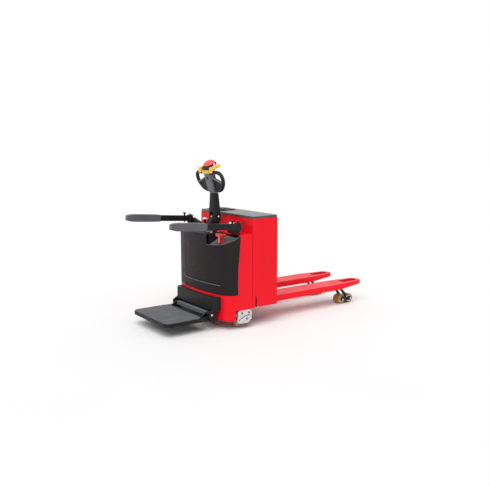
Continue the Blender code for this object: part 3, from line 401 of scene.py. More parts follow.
def red_enamel():
    """Red paint with a faint orange peel, slow drifts of shade and pale edges, partly rubbed and partly a painted
    highlight.
    """
    made = Finish("red_paint", (0.80, 0.004, 0.014), 0.38, coat=0.06, coat_roughness=0.10, gloss=0.14)
    made.tint(made.noise(2.2, 2), (0.78, 0.003, 0.012), (0.84, 0.005, 0.018))
    made.shine(made.noise(9, 3), 0.32, 0.42)
    made.relief(made.noise(420, 2), 0.05, 0.0003)
    # Pale edges: partly wear, partly a painted highlight.
    made.worn_and_highlit_edges((0.90, 0.10, 0.10), 0.5)
    return made.material


def cover_plastic():
    """Brown-black moulded plastic with a fine grained skin."""
    made = Finish("cover_black", (0.017, 0.012, 0.013), 0.46, gloss=0.12)
    made.tint(made.noise(5, 3), (0.015, 0.011, 0.012), (0.020, 0.014, 0.015))
    made.shine(made.noise(24, 3), 0.40, 0.54)
    made.relief(made.cells(900), 0.30, 0.0003)
    made.relief(made.noise(1500, 2), 0.20, 0.0002)
    return made.material


def powder_coat():
    """Satin black powder coat with a pebbled skin."""
    made = Finish("black_paint", (0.010, 0.010, 0.011), 0.42, gloss=0.18)
    made.tint(made.noise(8, 3), (0.008, 0.008, 0.009), (0.013, 0.013, 0.014))
    made.shine(made.noise(60, 3), 0.34, 0.50)
    made.relief(made.noise(700, 3), 0.30, 0.0004)
    # Grey edges: partly wear, partly a painted highlight.
    made.worn_and_highlit_edges((0.14, 0.14, 0.145), 0.7)
    return made.material


def handle_plastic():
    """Dark soft-touch plastic of the handle and its collar."""
    made = Finish("handle_black", (0.017, 0.018, 0.021), 0.50, gloss=0.20)
    made.tint(made.noise(20, 3), (0.014, 0.015, 0.018), (0.022, 0.023, 0.026))
    made.shine(made.noise(90, 3), 0.42, 0.58)
    made.relief(made.cells(1400), 0.30, 0.0002)
    return made.material


def head_plastic():
    """Mid grey moulded plastic of the handle's body."""
    made = Finish("head_grey", (0.150, 0.145, 0.165), 0.48, gloss=0.3)
    made.tint(made.noise(14, 3), (0.136, 0.131, 0.150), (0.168, 0.162, 0.184))
    made.shine(made.noise(80, 3), 0.42, 0.56)
    made.relief(made.cells(1300), 0.30, 0.0002)
    return made.material


def lid_plastic():
    """Satin dark plastic with faint waves and a film of dust."""
    made = Finish("lid_black", (0.045, 0.050, 0.052), 0.30, coat=0.06, coat_roughness=0.15)
    made.tint(made.noise(6, 5), (0.036, 0.041, 0.043), (0.066, 0.072, 0.074))
    made.shine(made.noise(30, 4), 0.26, 0.38)
    made.relief(made.noise(12, 2), 0.10, 0.0010)
    made.relief(made.noise(900, 2), 0.12, 0.0002)
    return made.material


def mat_rubber():
    """Grey rubber with scuffs and a fine grain."""
    made = Finish("step_rubber", (0.115, 0.122, 0.128), 0.72, gloss=0.3)
    made.tint(made.noise(16, 5), (0.098, 0.104, 0.110), (0.138, 0.146, 0.152))
    made.shine(made.noise(40, 4), 0.62, 0.84)
    made.relief(made.noise(800, 3), 0.40, 0.0004)
    return made.material


def foam_skin():
    """Moulded foam skin of the arm pads, finely pebbled."""
    made = Finish("grip_grey", (0.088, 0.088, 0.092), 0.62, gloss=0.3)
    made.socket("Sheen Weight").default_value = 0.25
    made.socket("Sheen Roughness").default_value = 0.5
    made.tint(made.noise(12, 4), (0.076, 0.076, 0.080), (0.104, 0.104, 0.109))
    made.shine(made.noise(50, 3), 0.54, 0.72)
    made.relief(made.cells(520), 0.35, 0.0005)
    made.relief(made.noise(1200, 2), 0.25, 0.0002)
    return made.material


def zinc_plate():
    """Bright zinc plate with drawn streaks and cloudy patches."""
    made = Finish("bright_steel", (0.62, 0.63, 0.63), 0.28, metallic=1.0)
    made.tint(made.noise(26, 4), (0.50, 0.52, 0.53), (0.74, 0.74, 0.72))
    streaks = made.noise(1.0, 3, place=made.stretched(900, 900, 60))
    made.shine(streaks, 0.20, 0.42)
    made.relief(streaks, 0.12, 0.0002)
    return made.material


def casting():
    """Dark painted cast iron with a sandy skin."""
    made = Finish("cast_iron", (0.055, 0.056, 0.060), 0.55, metallic=0.35)
    made.tint(made.noise(18, 4), (0.042, 0.043, 0.047), (0.078, 0.078, 0.082))
    made.shine(made.noise(60, 4), 0.45, 0.70)
    made.relief(made.noise(300, 5), 0.50, 0.0008)
    # Grey edges: partly wear, partly a painted highlight.
    made.worn_and_highlit_edges((0.20, 0.20, 0.21), 0.8)
    return made.material


def cast_aluminium():
    """Sand cast aluminium."""
    made = Finish("aluminium_case", (0.42, 0.43, 0.44), 0.45, metallic=1.0)
    made.tint(made.noise(20, 4), (0.34, 0.35, 0.36), (0.50, 0.51, 0.52))
    made.shine(made.noise(70, 4), 0.38, 0.60)
    made.relief(made.noise(420, 4), 0.40, 0.0006)
    return made.material


def cell_plastic():
    """Dark grey polypropylene of the battery cells."""
    made = Finish("battery_case", (0.035, 0.040, 0.046), 0.50)
    made.tint(made.noise(9, 5), (0.028, 0.032, 0.038), (0.050, 0.055, 0.062))
    made.shine(made.noise(40, 4), 0.42, 0.62)
    made.relief(made.noise(500, 3), 0.25, 0.0003)
    return made.material


def coloured_plastic(name, dark, light, roughness, coat):
    """Moulded plastic in one colour, a little uneven in shade and gloss."""
    made = Finish(name, dark, roughness, coat=coat, coat_roughness=0.12)
    made.tint(made.noise(40, 4), dark, light)
    made.shine(made.noise(110, 3), roughness - 0.05, roughness + 0.08)
    made.relief(made.noise(1100, 2), 0.15, 0.0002)
    return made.material


def tread_compound(name, dark, light, roughness):
    """Wheel tread with turning marks round the axle and scuffed patches."""
    made = Finish(name, dark, roughness)
    made.tint(made.noise(45, 5), dark, light)
    made.shine(made.noise(70, 4), roughness - 0.08, roughness + 0.12)
    made.relief(made.noise(1.0, 2, place=made.stretched(60, 1500, 60)), 0.25, 0.0003)
    made.relief(made.noise(260, 4), 0.25, 0.0004)
    return made.material


FINISH = {
    "red_paint": red_enamel(),
    "cover_black": cover_plastic(),
    "black_paint": powder_coat(),
    "handle_black": handle_plastic(),
    "head_grey": head_plastic(),
    "lid_black": lid_plastic(),
    "step_rubber": mat_rubber(),
    "grip_grey": foam_skin(),
    "bright_steel": zinc_plate(),
    "cast_iron": casting(),
    "aluminium_case": cast_aluminium(),
    "battery_case": cell_plastic(),
    "yellow_plastic": coloured_plastic("yellow_plastic", (0.78, 0.46, 0.030), (0.88, 0.58, 0.07), 0.34, 0.3),
    "red_plastic": coloured_plastic("red_plastic", (0.76, 0.030, 0.040), (0.86, 0.050, 0.065), 0.24, 0.6),
    "grey_plastic": coloured_plastic("grey_plastic", (0.66, 0.67, 0.69), (0.76, 0.77, 0.79), 0.34, 0.3),
    "polyurethane": tread_compound("polyurethane", (0.30, 0.155, 0.030), (0.44, 0.26, 0.055), 0.40),
    "drive_tread": tread_compound("drive_tread", (0.032, 0.027, 0.024), (0.055, 0.048, 0.042), 0.74),
}


# ---------------------------------------------------------------- fasteners

def hex_head(size):
    """A chamfered hexagon head on its washer, at the origin along +Z. size is its radius."""
    washer = rod((0, 0, 0), (0, 0, size * 0.16), size * 1.25, 32)
    head = rod((0, 0, size * 0.14), (0, 0, size * 0.80), size, 6)
    sink(head, lambda c, n: n.z > 0.9, (size * 0.16, size * 0.05), (size * 0.30, -size * 0.06))
    return soften(joined([washer, head]), size * 0.05)


def socket_head(size):
    """A cap screw with a hexagon socket, at the origin along +Z."""
    head = rod((0, 0, 0), (0, 0, size * 0.75), size, 24)
    socket = rod((0, 0, size * 0.30), (0, 0, size * 1.5), size * 0.5, 6)
    modify(head, "BOOLEAN", operation="DIFFERENCE", object=socket)
    bpy.data.objects.remove(socket)
    return soften(head, size * 0.10)


def dome_cap(size):
    """A low domed cap on a flange, at the origin along +Z."""
    cap = rod((0, 0, 0), (0, 0, size * 0.22), size, 40)
    shares = ((0.10, 0.0), (0.08, 0.20), (0.22, 0.12), (0.30, 0.06))
    sink(cap, lambda c, n: n.z > 0.9, *[(size * inwards, size * up) for inwards, up in shares])
    return soften(cap, size * 0.05)


def fasteners(name, body, finish, master, spots):
    """Copies of one fastener at (place, direction) spots, as a single piece."""
    copies = [copy_to(master, place, direction, turn=0.7 * k) for k, (place, direction) in enumerate(spots)]
    bpy.data.objects.remove(master)
    return dress(joined(copies), name, body, finish)


def weld(name, body, start, end, radius=0.0022):
    """A rippled weld bead in paint, along a straight corner."""
    start, end = Vector(start), Vector(end)
    count = max(4, int((end - start).length / 0.0035))
    points = [start.lerp(end, k / count) for k in range(count + 1)]
    swell = [1.0 if k % 2 else 0.72 for k in range(count + 1)]
    bead = tube(points, radius, sides=2, swell=swell)
    return dress(bead, name, body, "red_paint")


# ---------------------------------------------------------------- tractor

def front_cover():
    """Cover with the pressed lip across its front, softened rims and a pale line painted along the lip as its
    highlight.
    """
    cover = merged_copy("front_cover")
    lip_z, lip_y = (0.343, 0.358), (-0.282, 0.215)
    planes = [((0, 0, z), (0, 0, 1)) for z in lip_z] + [((0, y, 0), (0, 1, 0)) for y in lip_y]
    slice_at(cover, *planes)

    def on_lip(centre, normal):
        inside = lip_z[0] < centre.z < lip_z[1] and lip_y[0] < centre.y < lip_y[1]
        return inside and normal.x < -0.5

    sink(cover, on_lip, (0.0006, -0.0030))
    stand_for(soften(cover, 0.0016, 3), "front_cover")
    # A pale grey bar along the lip: a painted highlight on the lip's edge.
    line = [(nose_x(y) - 0.0004, y, 0.3445) for y in (-0.280, -0.20, -0.10, 0.0, 0.10, 0.17)]
    line += [(nose_x(0.205) - 0.0004, 0.205, 0.351), (nose_x(0.216) - 0.0004, 0.216, 0.375)]
    dress(tube(line, 0.0026, sides=3), "pocket_lip_highlight", "chassis", "head_grey")


def cover_screws():
    """Cap screws that hold the cover to the deck."""
    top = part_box("front_cover")[1].z
    spots = [((-0.432, y, top), (0, 0, 1)) for y in (-0.085, 0.085, 0.200, 0.320)]
    fasteners("cover_screws", "chassis", "bright_steel", socket_head(0.0050), spots)


def tray_rim(x):
    """Height of the tray's sloping rim."""
    return TRAY_REAR_Z + TRAY_RISE * (x - TRAY_REAR_X)


def rim_x(y):
    """Where the cover's front is at y, with its rounded corner."""
    past = max(0.0, abs(y) - 0.281)
    return nose_x(y) + NOSE_CORNER - (NOSE_CORNER**2 - past**2) ** 0.5


def tray_mat():
    """Grey liner on the tray's floor, the cheek at its inner end and a pale line painted along its rim as its
    highlight.
    """
    low, high = Vector((-0.568, -0.345, 0)), Vector((-0.420, -0.138, 0))
    liner = cube((low.x, high.x), (low.y, high.y), (0, 0.0022))
    edit(liner)
    bpy.ops.mesh.select_all(action="SELECT")
    bpy.ops.mesh.subdivide(number_cuts=9)
    leave_edit()
    for vertex in liner.data.vertices:
        vertex.co.x = max(vertex.co.x, rim_x(vertex.co.y) + 0.012)
        vertex.co.z += tray_rim(vertex.co.x) - 0.0158
    dress(soften(liner, 0.0006), "tray_mat", "chassis", "step_rubber")
    cheek = cube((-0.5690, -0.5500), (-0.1320, -0.1270), (0.6300, 0.7235))
    dress(soften(cheek, 0.0008), "tray_cheek", "chassis", "cover_black")
    # A pale grey bar along the tray's rim: a painted highlight on the rim's edge.
    across = (-0.135, -0.17, -0.21, -0.25, -0.28, -0.31, -0.335, -0.352)
    line = [(rim_x(y), y, tray_rim(rim_x(y))) for y in across]
    line += [(x, -HALF_WIDTH, tray_rim(x)) for x in (-0.470, -0.445, -0.418)]
    dress(tube(line, 0.0018, sides=3), "tray_rim", "chassis", "head_grey")


def gauge():
    """Round battery gauge beside the key, with its needle."""
    x, y, z = -0.505, -0.055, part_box("front_cover")[1].z
    ring = rod((x, y, z - 0.002), (x, y, z + 0.005), 0.0185, 40)
    sink(ring, lambda c, n: n.z > 0.9, (0.0020, 0.0012), (0.0015, -0.0016))
    dress(soften(ring, 0.0005), "gauge_ring", "chassis", "handle_black")
    face = rod((x, y, z + 0.002), (x, y, z + 0.0049), 0.0145, 32)
    dress(soften(face, 0.0003), "gauge_face", "chassis", "grey_plastic")
    needle = cube((x - 0.0010, x + 0.0010), (y, y + 0.0110), (z + 0.0049, z + 0.0056))
    dress(soften(needle, 0.0002), "gauge_needle", "chassis", "red_plastic")


def key_switch():
    """Key with its barrel, bow and collar."""
    low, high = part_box("ignition_key")
    x, y = (low.x + high.x) / 2, (low.y + high.y) / 2
    barrel = rod((x, y, low.z), (x, y, low.z + 0.006), 0.012, 40)
    sink(barrel, lambda c, n: n.z > 0.9, (0.0022, 0.0), (0.0012, -0.0012), (0.0012, 0.0008))
    bow = rod((x, y - 0.0015, high.z - 0.0105), (x, y + 0.0015, high.z - 0.0105), 0.0105, 32)
    sink(bow, lambda c, n: abs(n.y) > 0.9, (0.0020, -0.0003))
    blade = cube((x - 0.0040, x + 0.0040), (y - 0.0011, y + 0.0011), (low.z + 0.004, high.z - 0.014))
    key = joined([soften(barrel, 0.0004), soften(bow, 0.0004), soften(blade, 0.0003)])
    return stand_for(key, "ignition_key")


def disconnect_handle():
    """Angular red pull handle of the battery disconnect, with the pale stop beside its foot."""
    low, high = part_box("emergency_handle")
    x, y = (low.x + high.x) / 2, (low.y + high.y) / 2
    post = cube((x - 0.022, x + 0.020), (y - 0.013, y + 0.013), (low.z + 0.014, high.z - 0.014))
    sink(post, lambda c, n: abs(n.y) > 0.9, (0.0050, 0.0), (0.0020, -0.0030))
    bar = cube((low.x, high.x - 0.010), (low.y, high.y), (high.z - 0.022, high.z))
    for vertex in bar.data.vertices:
        if vertex.co.x > x:
            vertex.co.z -= 0.010
    sink(bar, lambda c, n: n.z > 0.9, (0.0070, 0.0), (0.0030, -0.0060))
    sink(bar, lambda c, n: abs(n.x) > 0.9, (0.0060, -0.0060))
    handle = joined([soften(post, 0.0010), soften(bar, 0.0018, 3)])
    stand_for(handle, "emergency_handle")
    badge = rod((x + 0.026, y, high.z - 0.030), (x + 0.026, y, high.z - 0.010), 0.0100, 32)
    sink(badge, lambda c, n: n.z > 0.9, (0.0020, -0.0006))
    dress(soften(badge, 0.0005), "disconnect_badge", "disconnect", "grey_plastic")


def deck_studs():
    """Black posts with pale caps where the arm brackets are bolted to the deck."""
    spots = [((-0.377, side * 0.190, ARM_SEAT_Z), (0, 0, 1)) for side in SIDES.values()]
    post = soften(rod((0, 0, 0), (0, 0, 0.034), 0.0120, 6), 0.0006)
    fasteners("bracket_posts", "chassis", "black_paint", post, spots)
    cap = dome_cap(0.0225)
    cap.data.transform(Matrix.Translation((0, 0, 0.033)))
    fasteners("bracket_caps", "chassis", "grey_plastic", cap, spots)


def arm_gusset(name, side):
    """Stiffening rib on top of the arm's bracket, rising from the deck to the hinge."""
    rib = cube((-0.420, -0.398), sorted((side * 0.200, side * 0.312)), (0.7620, 0.8020))
    for vertex in rib.data.vertices:
        if vertex.co.z > 0.79 and abs(vertex.co.y) < 0.25:
            vertex.co.z = 0.7740
    dress(soften(rib, 0.0012), "arm_gusset_" + name, "chassis", "black_paint")


def bracket_shell():
    """Folded cover over the bracket's box, its ends swept back to the skirt."""
    low, high = 0.1535, 0.2545
    shell = cube((-0.6075, -0.5700), (-0.2850, 0.2850), (low, high))
    slice_at(shell, *[((0, y, 0), (0, 1, 0)) for y in (-0.258, -0.13, 0, 0.13, 0.258)])
    for vertex in shell.data.vertices:
        if vertex.co.x > -0.58:
            vertex.co.x = nose_x(vertex.co.y) + 0.002
        elif abs(vertex.co.y) > 0.26:
            vertex.co.x = -0.5780
    dress(soften(shell, 0.0026, 3, 20), "bracket_shell", "chassis", "black_paint")


def step_bracket_bolts():
    """Bolts through the bracket's cheeks and the heads of the step's hinge pins."""
    spots = []
    for side in SIDES.values():
        face = (0, side, 0)
        spots += [((x, side * 0.274, z), face) for x, z in ((-0.598, 0.152), (-0.594, 0.090))]
    fasteners("cheek_bolts", "chassis", "black_paint", hex_head(0.0060), spots)
    x, z = STEP_HINGE
    pins = [((x, side * 0.282, z), (0, side, 0)) for side in SIDES.values()]
    fasteners("step_pin_heads", "chassis", "bright_steel", dome_cap(0.0095), pins)


# ---------------------------------------------------------------- step and side arms

def step_mat():
    """Rubber mat with raised ribs across the step."""
    mat = merged_copy("step_mat")
    low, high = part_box("step_mat")
    rib, margin = 0.0075, 0.012
    count = int((high.x - low.x - 2 * margin) / rib)
    edges = [low.x + margin + rib * k for k in range(count + 1)]
    planes = [((x, 0, 0), (1, 0, 0)) for x in edges]
    planes += [((0, low.y + margin, 0), (0, 1, 0)), ((0, high.y - margin, 0), (0, 1, 0))]
    slice_at(mat, *planes)

    def on_rib(centre, normal):
        if normal.z < 0.9 or not edges[0] < centre.x < edges[-1]:
            return False
        if not low.y + margin < centre.y < high.y - margin:
            return False
        return int((centre.x - edges[0]) / rib) % 2 == 0

    sink(mat, on_rib, (0.0009, 0.0011))
    return stand_for(soften(mat, 0.0003, 1), "step_mat")


def arm_pad(name, side):
    """Foam sleeve on the front of a side arm: crowned, with a rounded nose and a hem at its mouth."""
    middle_y, middle_z = side * PAD_Y, ARM_HINGE[2]
    nose, mouth = PAD_X
    low = Vector((nose, middle_y - PAD_HALF_WIDTH, middle_z - PAD_HALF_HEIGHT))
    high = Vector((mouth, middle_y + PAD_HALF_WIDTH, middle_z + PAD_HALF_HEIGHT))
    pad = cube((low.x + 0.002, mouth - 0.010), (low.y, high.y), (low.z, high.z))
    edit(pad)
    bpy.ops.mesh.select_all(action="SELECT")
    bpy.ops.mesh.subdivide(number_cuts=7)
    leave_edit()
    middle = (low + high) / 2
    length = high.x - low.x
    for vertex in pad.data.vertices:
        away = (vertex.co - middle)
        tip = max(0.0, (nose + 0.050 - vertex.co.x) / 0.050)
        crown = 1 - 0.035 * (2 * away.x / length) ** 2 - 0.32 * tip ** 2
        vertex.co.y = middle.y + away.y * crown
        vertex.co.z = middle.z + away.z * crown
    modify(pad, "BEVEL", width=0.011, segments=4, limit_method="ANGLE", angle_limit=radians(40))
    modify(pad, "SUBSURF", levels=1, render_levels=1)
    hem = cube((mouth - 0.013, mouth), (low.y + 0.0025, high.y - 0.0025), (low.z + 0.0025, high.z - 0.0025))
    sink(hem, lambda c, n: n.x > 0.9, (0.0040, 0.0), (0.0010, -0.0040))
    modify(hem, "BEVEL", width=0.006, segments=4, limit_method="ANGLE", angle_limit=radians(60))
    made = raised_to_pad(smooth(joined([pad, hem]), 50))
    stand_for(made, "arm_grip_" + name, name="arm_pad_" + name)
    return made


def arm_fittings(name, side):
    """Hinge bolt, clamp screws and the sprung latch of a side arm."""
    arm, latch = "side_arm_" + name, "arm_latch_" + name
    x, y, z = ARM_HINGE[0], side * ARM_HINGE[1], ARM_HINGE[2]
    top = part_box("arm_bracket_" + name)[1].z
    sleeve = soften(rod((0, 0, z + 0.031 - top), (0, 0, 0.0004), 0.0086, 32), 0.0005)
    nut = joined([hex_head(0.0095), sleeve])
    finish = "bright_steel" if name == "far" else "black_paint"
    fasteners("arm_hinge_nut_" + name, "chassis", finish, nut, [((x, y, top), (0, 0, 1))])
    ring = rod((x, y, z + 0.0275), (x, y, z + 0.0305), 0.0180, 40)
    dress(soften(ring, 0.0006), "arm_washer_" + name, arm, "black_paint")
    outer = side * 0.363
    spots = [((at, outer, z), (0, side, 0)) for at in (-0.560, -0.640)]
    raised_to_pad(fasteners("arm_screws_" + name, arm, "black_paint", socket_head(0.0055), spots))
    low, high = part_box(latch)
    x = (low.x + high.x) / 2
    pin = rod((x, y, low.z), (x, y, high.z - 0.004), 0.0054, 24)
    knob = rod((x, y - 0.0165, high.z - 0.008), (x, y + 0.0165, high.z - 0.008), 0.0062, 24)
    turns, coils = [], 5
    for k in range(coils * 10 + 1):
        angle = 2 * pi * k / 10
        height = z + 0.0275 + 0.016 * k / (coils * 10)
        turns.append((x + 0.0072 * cos(angle), y + 0.0072 * sin(angle), height))
    spring = tube(turns, 0.0009, sides=2)
    made = joined([soften(pin, 0.0008), soften(knob, 0.0018, 3), spring])
    stand_for(made, latch, "black_paint")


def step_fittings():
    """Grey sleeve on the step's cross bar and rubber stops under the plate."""
    sleeve = cube((-0.6385, -0.6088), (-0.2150, 0.2150), (0.1160, 0.1445))
    dress(soften(sleeve, 0.0030, 3), "step_bar_sleeve", "step", "step_rubber")
    for name, side in SIDES.items():
        stop = rod((-0.690, side * 0.150, 0.086), (-0.690, side * 0.150, 0.078), 0.012, 24)
        sink(stop, lambda c, n: n.z < -0.9, (0.0030, 0.0010))
        dress(soften(stop, 0.0010), "step_stop_" + name, "step", "drive_tread")


# ---------------------------------------------------------------- tiller

def loop(name, side):
    """One side of the handle: a smooth round bar with the web that fills its foot."""
    route = [(0.034, 0.148), (0.088, 0.151), (0.128, 0.151), (0.154, 0.144), (0.170, 0.128)]
    route += [(0.176, 0.104), (0.173, 0.078), (0.158, 0.050), (0.134, 0.025), (0.104, 0.008)]
    route += [(0.068, 0.001), (0.030, 0.008)]
    bar = tube([lean_point(side * y, up, LOOP_OUT) for y, up in route], LOOP_RADIUS, sides=8)
    outline = [(0.034, 0.010), (0.068, 0.002), (0.104, 0.010), (0.150, 0.046), (0.166, 0.074)]
    outline += [(0.100, 0.094), (0.036, 0.118)]
    stand_for(joined([bar, web_plate(outline, side)]), "handle_loop_" + name)
    ends = [(0.040, 0.113), (0.070, 0.102), (0.110, 0.087), (0.158, 0.072)]
    strut = tube([lean_point(side * y, up, LOOP_OUT + 0.008) for y, up in ends], 0.0075, sides=4)
    return dress(strut, "loop_strut_" + name, "tiller", "head_grey")


def web_plate(outline, side):
    """A flat web in the leaning plane, with a raised strut along its upper edge."""
    mesh = bpy.data.meshes.new("web")
    points = [lean_point(side * y, up, LOOP_OUT - 0.006) for y, up in outline]
    mesh.from_pydata(points, [], [list(range(len(points)))])
    web = bpy.data.objects.new("web", mesh)
    bpy.context.scene.collection.objects.link(web)
    edit(web)
    bpy.ops.mesh.select_all(action="SELECT")
    bpy.ops.mesh.normals_make_consistent(inside=False)
    bpy.ops.mesh.extrude_region_move(TRANSFORM_OT_translate={"value": LEAN_OUT * 0.012})
    bpy.ops.mesh.select_all(action="SELECT")
    bpy.ops.mesh.normals_make_consistent(inside=False)
    leave_edit()
    sink(web, lambda c, n: n.dot(LEAN_OUT) > 0.9, (0.0060, 0.0), (0.0020, -0.0025))
    return soften(web, 0.0018, 3)


def dome():
    """Glossy safety button on top of the handle: half a rounded egg with a rim round its foot."""
    bpy.ops.mesh.primitive_uv_sphere_add(segments=64, ring_count=40, radius=1)
    button = bpy.context.active_object
    edit(button)
    bpy.ops.mesh.select_all(action="SELECT")
    bpy.ops.mesh.bisect(plane_co=(0, 0, 0), plane_no=(0, 0, 1), use_fill=True, clear_inner=True)
    leave_edit()
    for vertex in button.data.vertices:
        a, b, c = vertex.co
        ring = (a * a + b * b) ** 0.5
        square = ring / (abs(a) ** 3 + abs(b) ** 3) ** (1 / 3) if ring > 0.001 else 1.0
        y, d = 0.0515 * a * square, 0.0405 * b * square
        vertex.co = lean_point(y, 0.2088 - DOME_FALL * d + 0.0285 * c, DOME_OUT + d)
    edit(button)
    bpy.ops.mesh.select_all(action="SELECT")
    bpy.ops.mesh.normals_make_consistent(inside=False)
    leave_edit()
    modify(button, "BEVEL", width=0.0015, segments=3, limit_method="ANGLE", angle_limit=radians(50))
    return stand_for(smooth(button, 60), "belly_button")


def collar():
    """Switch collar with its many small edges rounded."""
    return stand_for(soften(merged_copy("switch_collar"), 0.0014, 3, 30), "switch_collar")


def head_trim():
    """Round bosses on the collar's sides and the caps on the throttle's wings."""
    spots = [(lean_point(side * 0.0520, 0.1990, -0.034), (0, side, 0)) for side in SIDES.values()]
    fasteners("collar_bosses", "tiller", "grey_plastic", dome_cap(0.0105), spots)
    spots = [(lean_point(side * 0.0955, THROTTLE_UP), (0, side, 0)) for side in SIDES.values()]
    fasteners("throttle_caps", "throttle", "yellow_plastic", dome_cap(0.0090), spots)


def throttle():
    """Thumb wings of the throttle, well rounded."""
    return stand_for(soften(merged_copy("throttle"), 0.0030, 4, 25), "throttle")


def column_bolts():
    """Bright pin heads and a yellow screw at the foot of the column."""
    spots = [((-0.403, side * 0.0525, 0.840), (0, side, 0)) for side in SIDES.values()]
    fasteners("tilt_pin_heads", "steering", "bright_steel", dome_cap(0.0080), spots)
    spots = [((-0.4385, -0.004, 0.838), (-1, 0, 0))]
    fasteners("column_screws", "tiller", "yellow_plastic", hex_head(0.0052), spots)


def slewing_ring():
    """Ring of screws round the tiller's base."""
    radius = 0.0465
    spots = []
    for k in range(8):
        angle = 2 * pi * (k + 0.5) / 8
        spots.append(((-0.435 + radius * cos(angle), radius * sin(angle), 0.754), (0, 0, 1)))
    fasteners("slewing_screws", "steering", "bright_steel", socket_head(0.0040), spots)


# ---------------------------------------------------------------- wheels

def wheel(node, inner_steps, bevel=0.0022):
    """A wheel lying along Y: a cylinder whose ends are stepped in to its hub."""
    low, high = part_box(node)
    middle = (low + high) / 2
    radius = (high.z - low.z) / 2
    made = rod((middle.x, low.y, middle.z), (middle.x, high.y, middle.z), radius, 64)
    sink(made, lambda c, n: abs(n.y) > 0.9, *inner_steps)
    return soften(made, bevel, 3)


def hub(centre, reach, radius, bore):
    """A steel hub with a bearing seal at each end."""
    made = rod((centre.x, centre.y - reach, centre.z), (centre.x, centre.y + reach, centre.z), radius, 48)
    steps = ((radius * 0.18, 0.0), (0.0008, -0.0012), (radius * 0.30, 0.0), (0.0008, 0.0010))
    sink(made, lambda c, n: abs(n.y) > 0.9, *steps, (max(0.001, radius * 0.44 - bore), 0.0))
    return soften(made, 0.0005)


def load_wheel(node):
    """Polyurethane roller on a steel hub."""
    low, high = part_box(node)
    middle = (low + high) / 2
    half = (high.y - low.y) / 2
    tyre = wheel(node, ((0.0070, 0.0), (0.0008, -0.0020)))
    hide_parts(node)
    dress(tyre, node + "_tyre", BODY_OF[node], "polyurethane")
    core = hub(middle, half - 0.0012, 0.0290, 0.0075)
    dress(core, node + "_hub", BODY_OF[node], "bright_steel")


def caster_wheel(node):
    """Polyurethane caster on a steel hub."""
    low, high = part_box(node)
    middle = (low + high) / 2
    half = (high.y - low.y) / 2
    tyre = wheel(node, ((0.0090, 0.0), (0.0008, -0.0016)), 0.0030)
    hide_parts(node)
    dress(tyre, node + "_tyre", BODY_OF[node], "polyurethane")
    core = hub(middle, half - 0.0006, 0.0240, 0.0065)
    dress(core, node + "_hub", BODY_OF[node], "bright_steel")


def drive_tyre():
    """Rubber drive tyre with cross grooves in its tread."""
    low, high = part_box("drive_tyre")
    middle = (low + high) / 2
    radius = (high.z - low.z) / 2
    sides = 96
    made = rod((middle.x, low.y, middle.z), (middle.x, high.y, middle.z), radius, sides)
    bore = rod((middle.x, low.y - 0.01, middle.z), (middle.x, high.y + 0.01, middle.z), 0.0860, sides)
    modify(made, "BOOLEAN", operation="DIFFERENCE", object=bore)
    bpy.data.objects.remove(bore)

    def on_block(centre, normal):
        out = (centre - middle)
        out.y = 0
        if out.length < radius * 0.95 or abs(normal.y) > 0.5:
            return False
        turned = Vector((out.x, out.z)).angle_signed(Vector((1, 0)))
        return round(sides * (0.5 + 0.5 * turned / pi)) % 3 == 0

    sink(made, on_block, (0.0012, -0.0030))
    return stand_for(soften(made, 0.0012), "drive_tyre")


def axle_ends(name, side):
    """Bright domed caps on the ends of the load wheels' axles."""
    centre = side * FORK_Y
    bogie_x = JOINT["bogie_level_" + name]["pos_m"][0]
    spots = []
    for x in (bogie_x - 0.046, bogie_x + 0.046):
        spots += [((x, centre + end * 0.0548, 0.040), (0, end, 0)) for end in (-1, 1)]
    fasteners("axle_caps_" + name, "bogie_" + name, "bright_steel", dome_cap(0.0092), spots)


def caster_trim(name, side):
    """Bolts and a pressed rib on the caster's guard."""
    face = side * HALF_WIDTH
    spots = [((x, face, z), (0, side, 0)) for x, z in ((-0.400, 0.126), (-0.338, 0.126), (-0.356, 0.078))]
    fasteners("guard_bolts_" + name, "chassis", "cast_iron", hex_head(0.0062), spots)
    rib = tube([(-0.432, face, 0.072), (-0.396, face, 0.092), (-0.330, face, 0.112)], 0.0028, sides=4)
    dress(rib, "guard_rib_" + name, "chassis", "cast_iron")


# ---------------------------------------------------------------- carriage

def lid():
    """Moulded lid with softened rims and the hatch over the charging socket."""
    copy = merged_copy("battery_lid")
    stand_for(soften(copy, 0.0030, 4, 50), "battery_lid")
    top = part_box("battery_lid")[1].z
    hatch = cube((-0.262, -0.120), (0.120, 0.330), (top - 0.002, top + 0.0050))
    sink(hatch, lambda c, n: n.z > 0.9, (0.0100, 0.0), (0.0030, -0.0040))
    dress(soften(hatch, 0.0012), "lid_hatch", BODY_OF["battery_lid"], "handle_black")
    pull = cube((-0.205, -0.175), (0.190, 0.260), (top - 0.001, top + 0.0075))
    dress(soften(pull, 0.0020, 3), "hatch_pull", BODY_OF["battery_lid"], "black_paint")


def lid_hinges():
    """Two barrel hinges along the lid's rear edge."""
    for k, y in enumerate((-0.230, 0.230)):
        barrel = rod((-0.0565, y - 0.030, 0.8465), (-0.0565, y + 0.030, 0.8465), 0.0048, 24)
        slice_at(barrel, *[((0, y + shift, 0), (0, 1, 0)) for shift in (-0.0105, -0.0095, 0.0095, 0.0105)])

        def in_gap(centre, normal, y=y):
            return 0.0095 < abs(centre.y - y) < 0.0105 and abs(normal.y) < 0.5

        sink(barrel, in_gap, (0.0, -0.0008))
        leaf = cube((-0.0622, -0.0598), (y - 0.030, y + 0.030), (0.812, 0.8440))
        made = joined([soften(barrel, 0.0003), soften(leaf, 0.0006)])
        dress(made, "lid_hinge_" + str(k + 1), "carriage", "black_paint")
        spots = [((-0.0598, y + shift, 0.824), (1, 0, 0)) for shift in (-0.018, 0.018)]
        fasteners("hinge_screws_" + str(k + 1), "carriage", "bright_steel", socket_head(0.0032), spots)


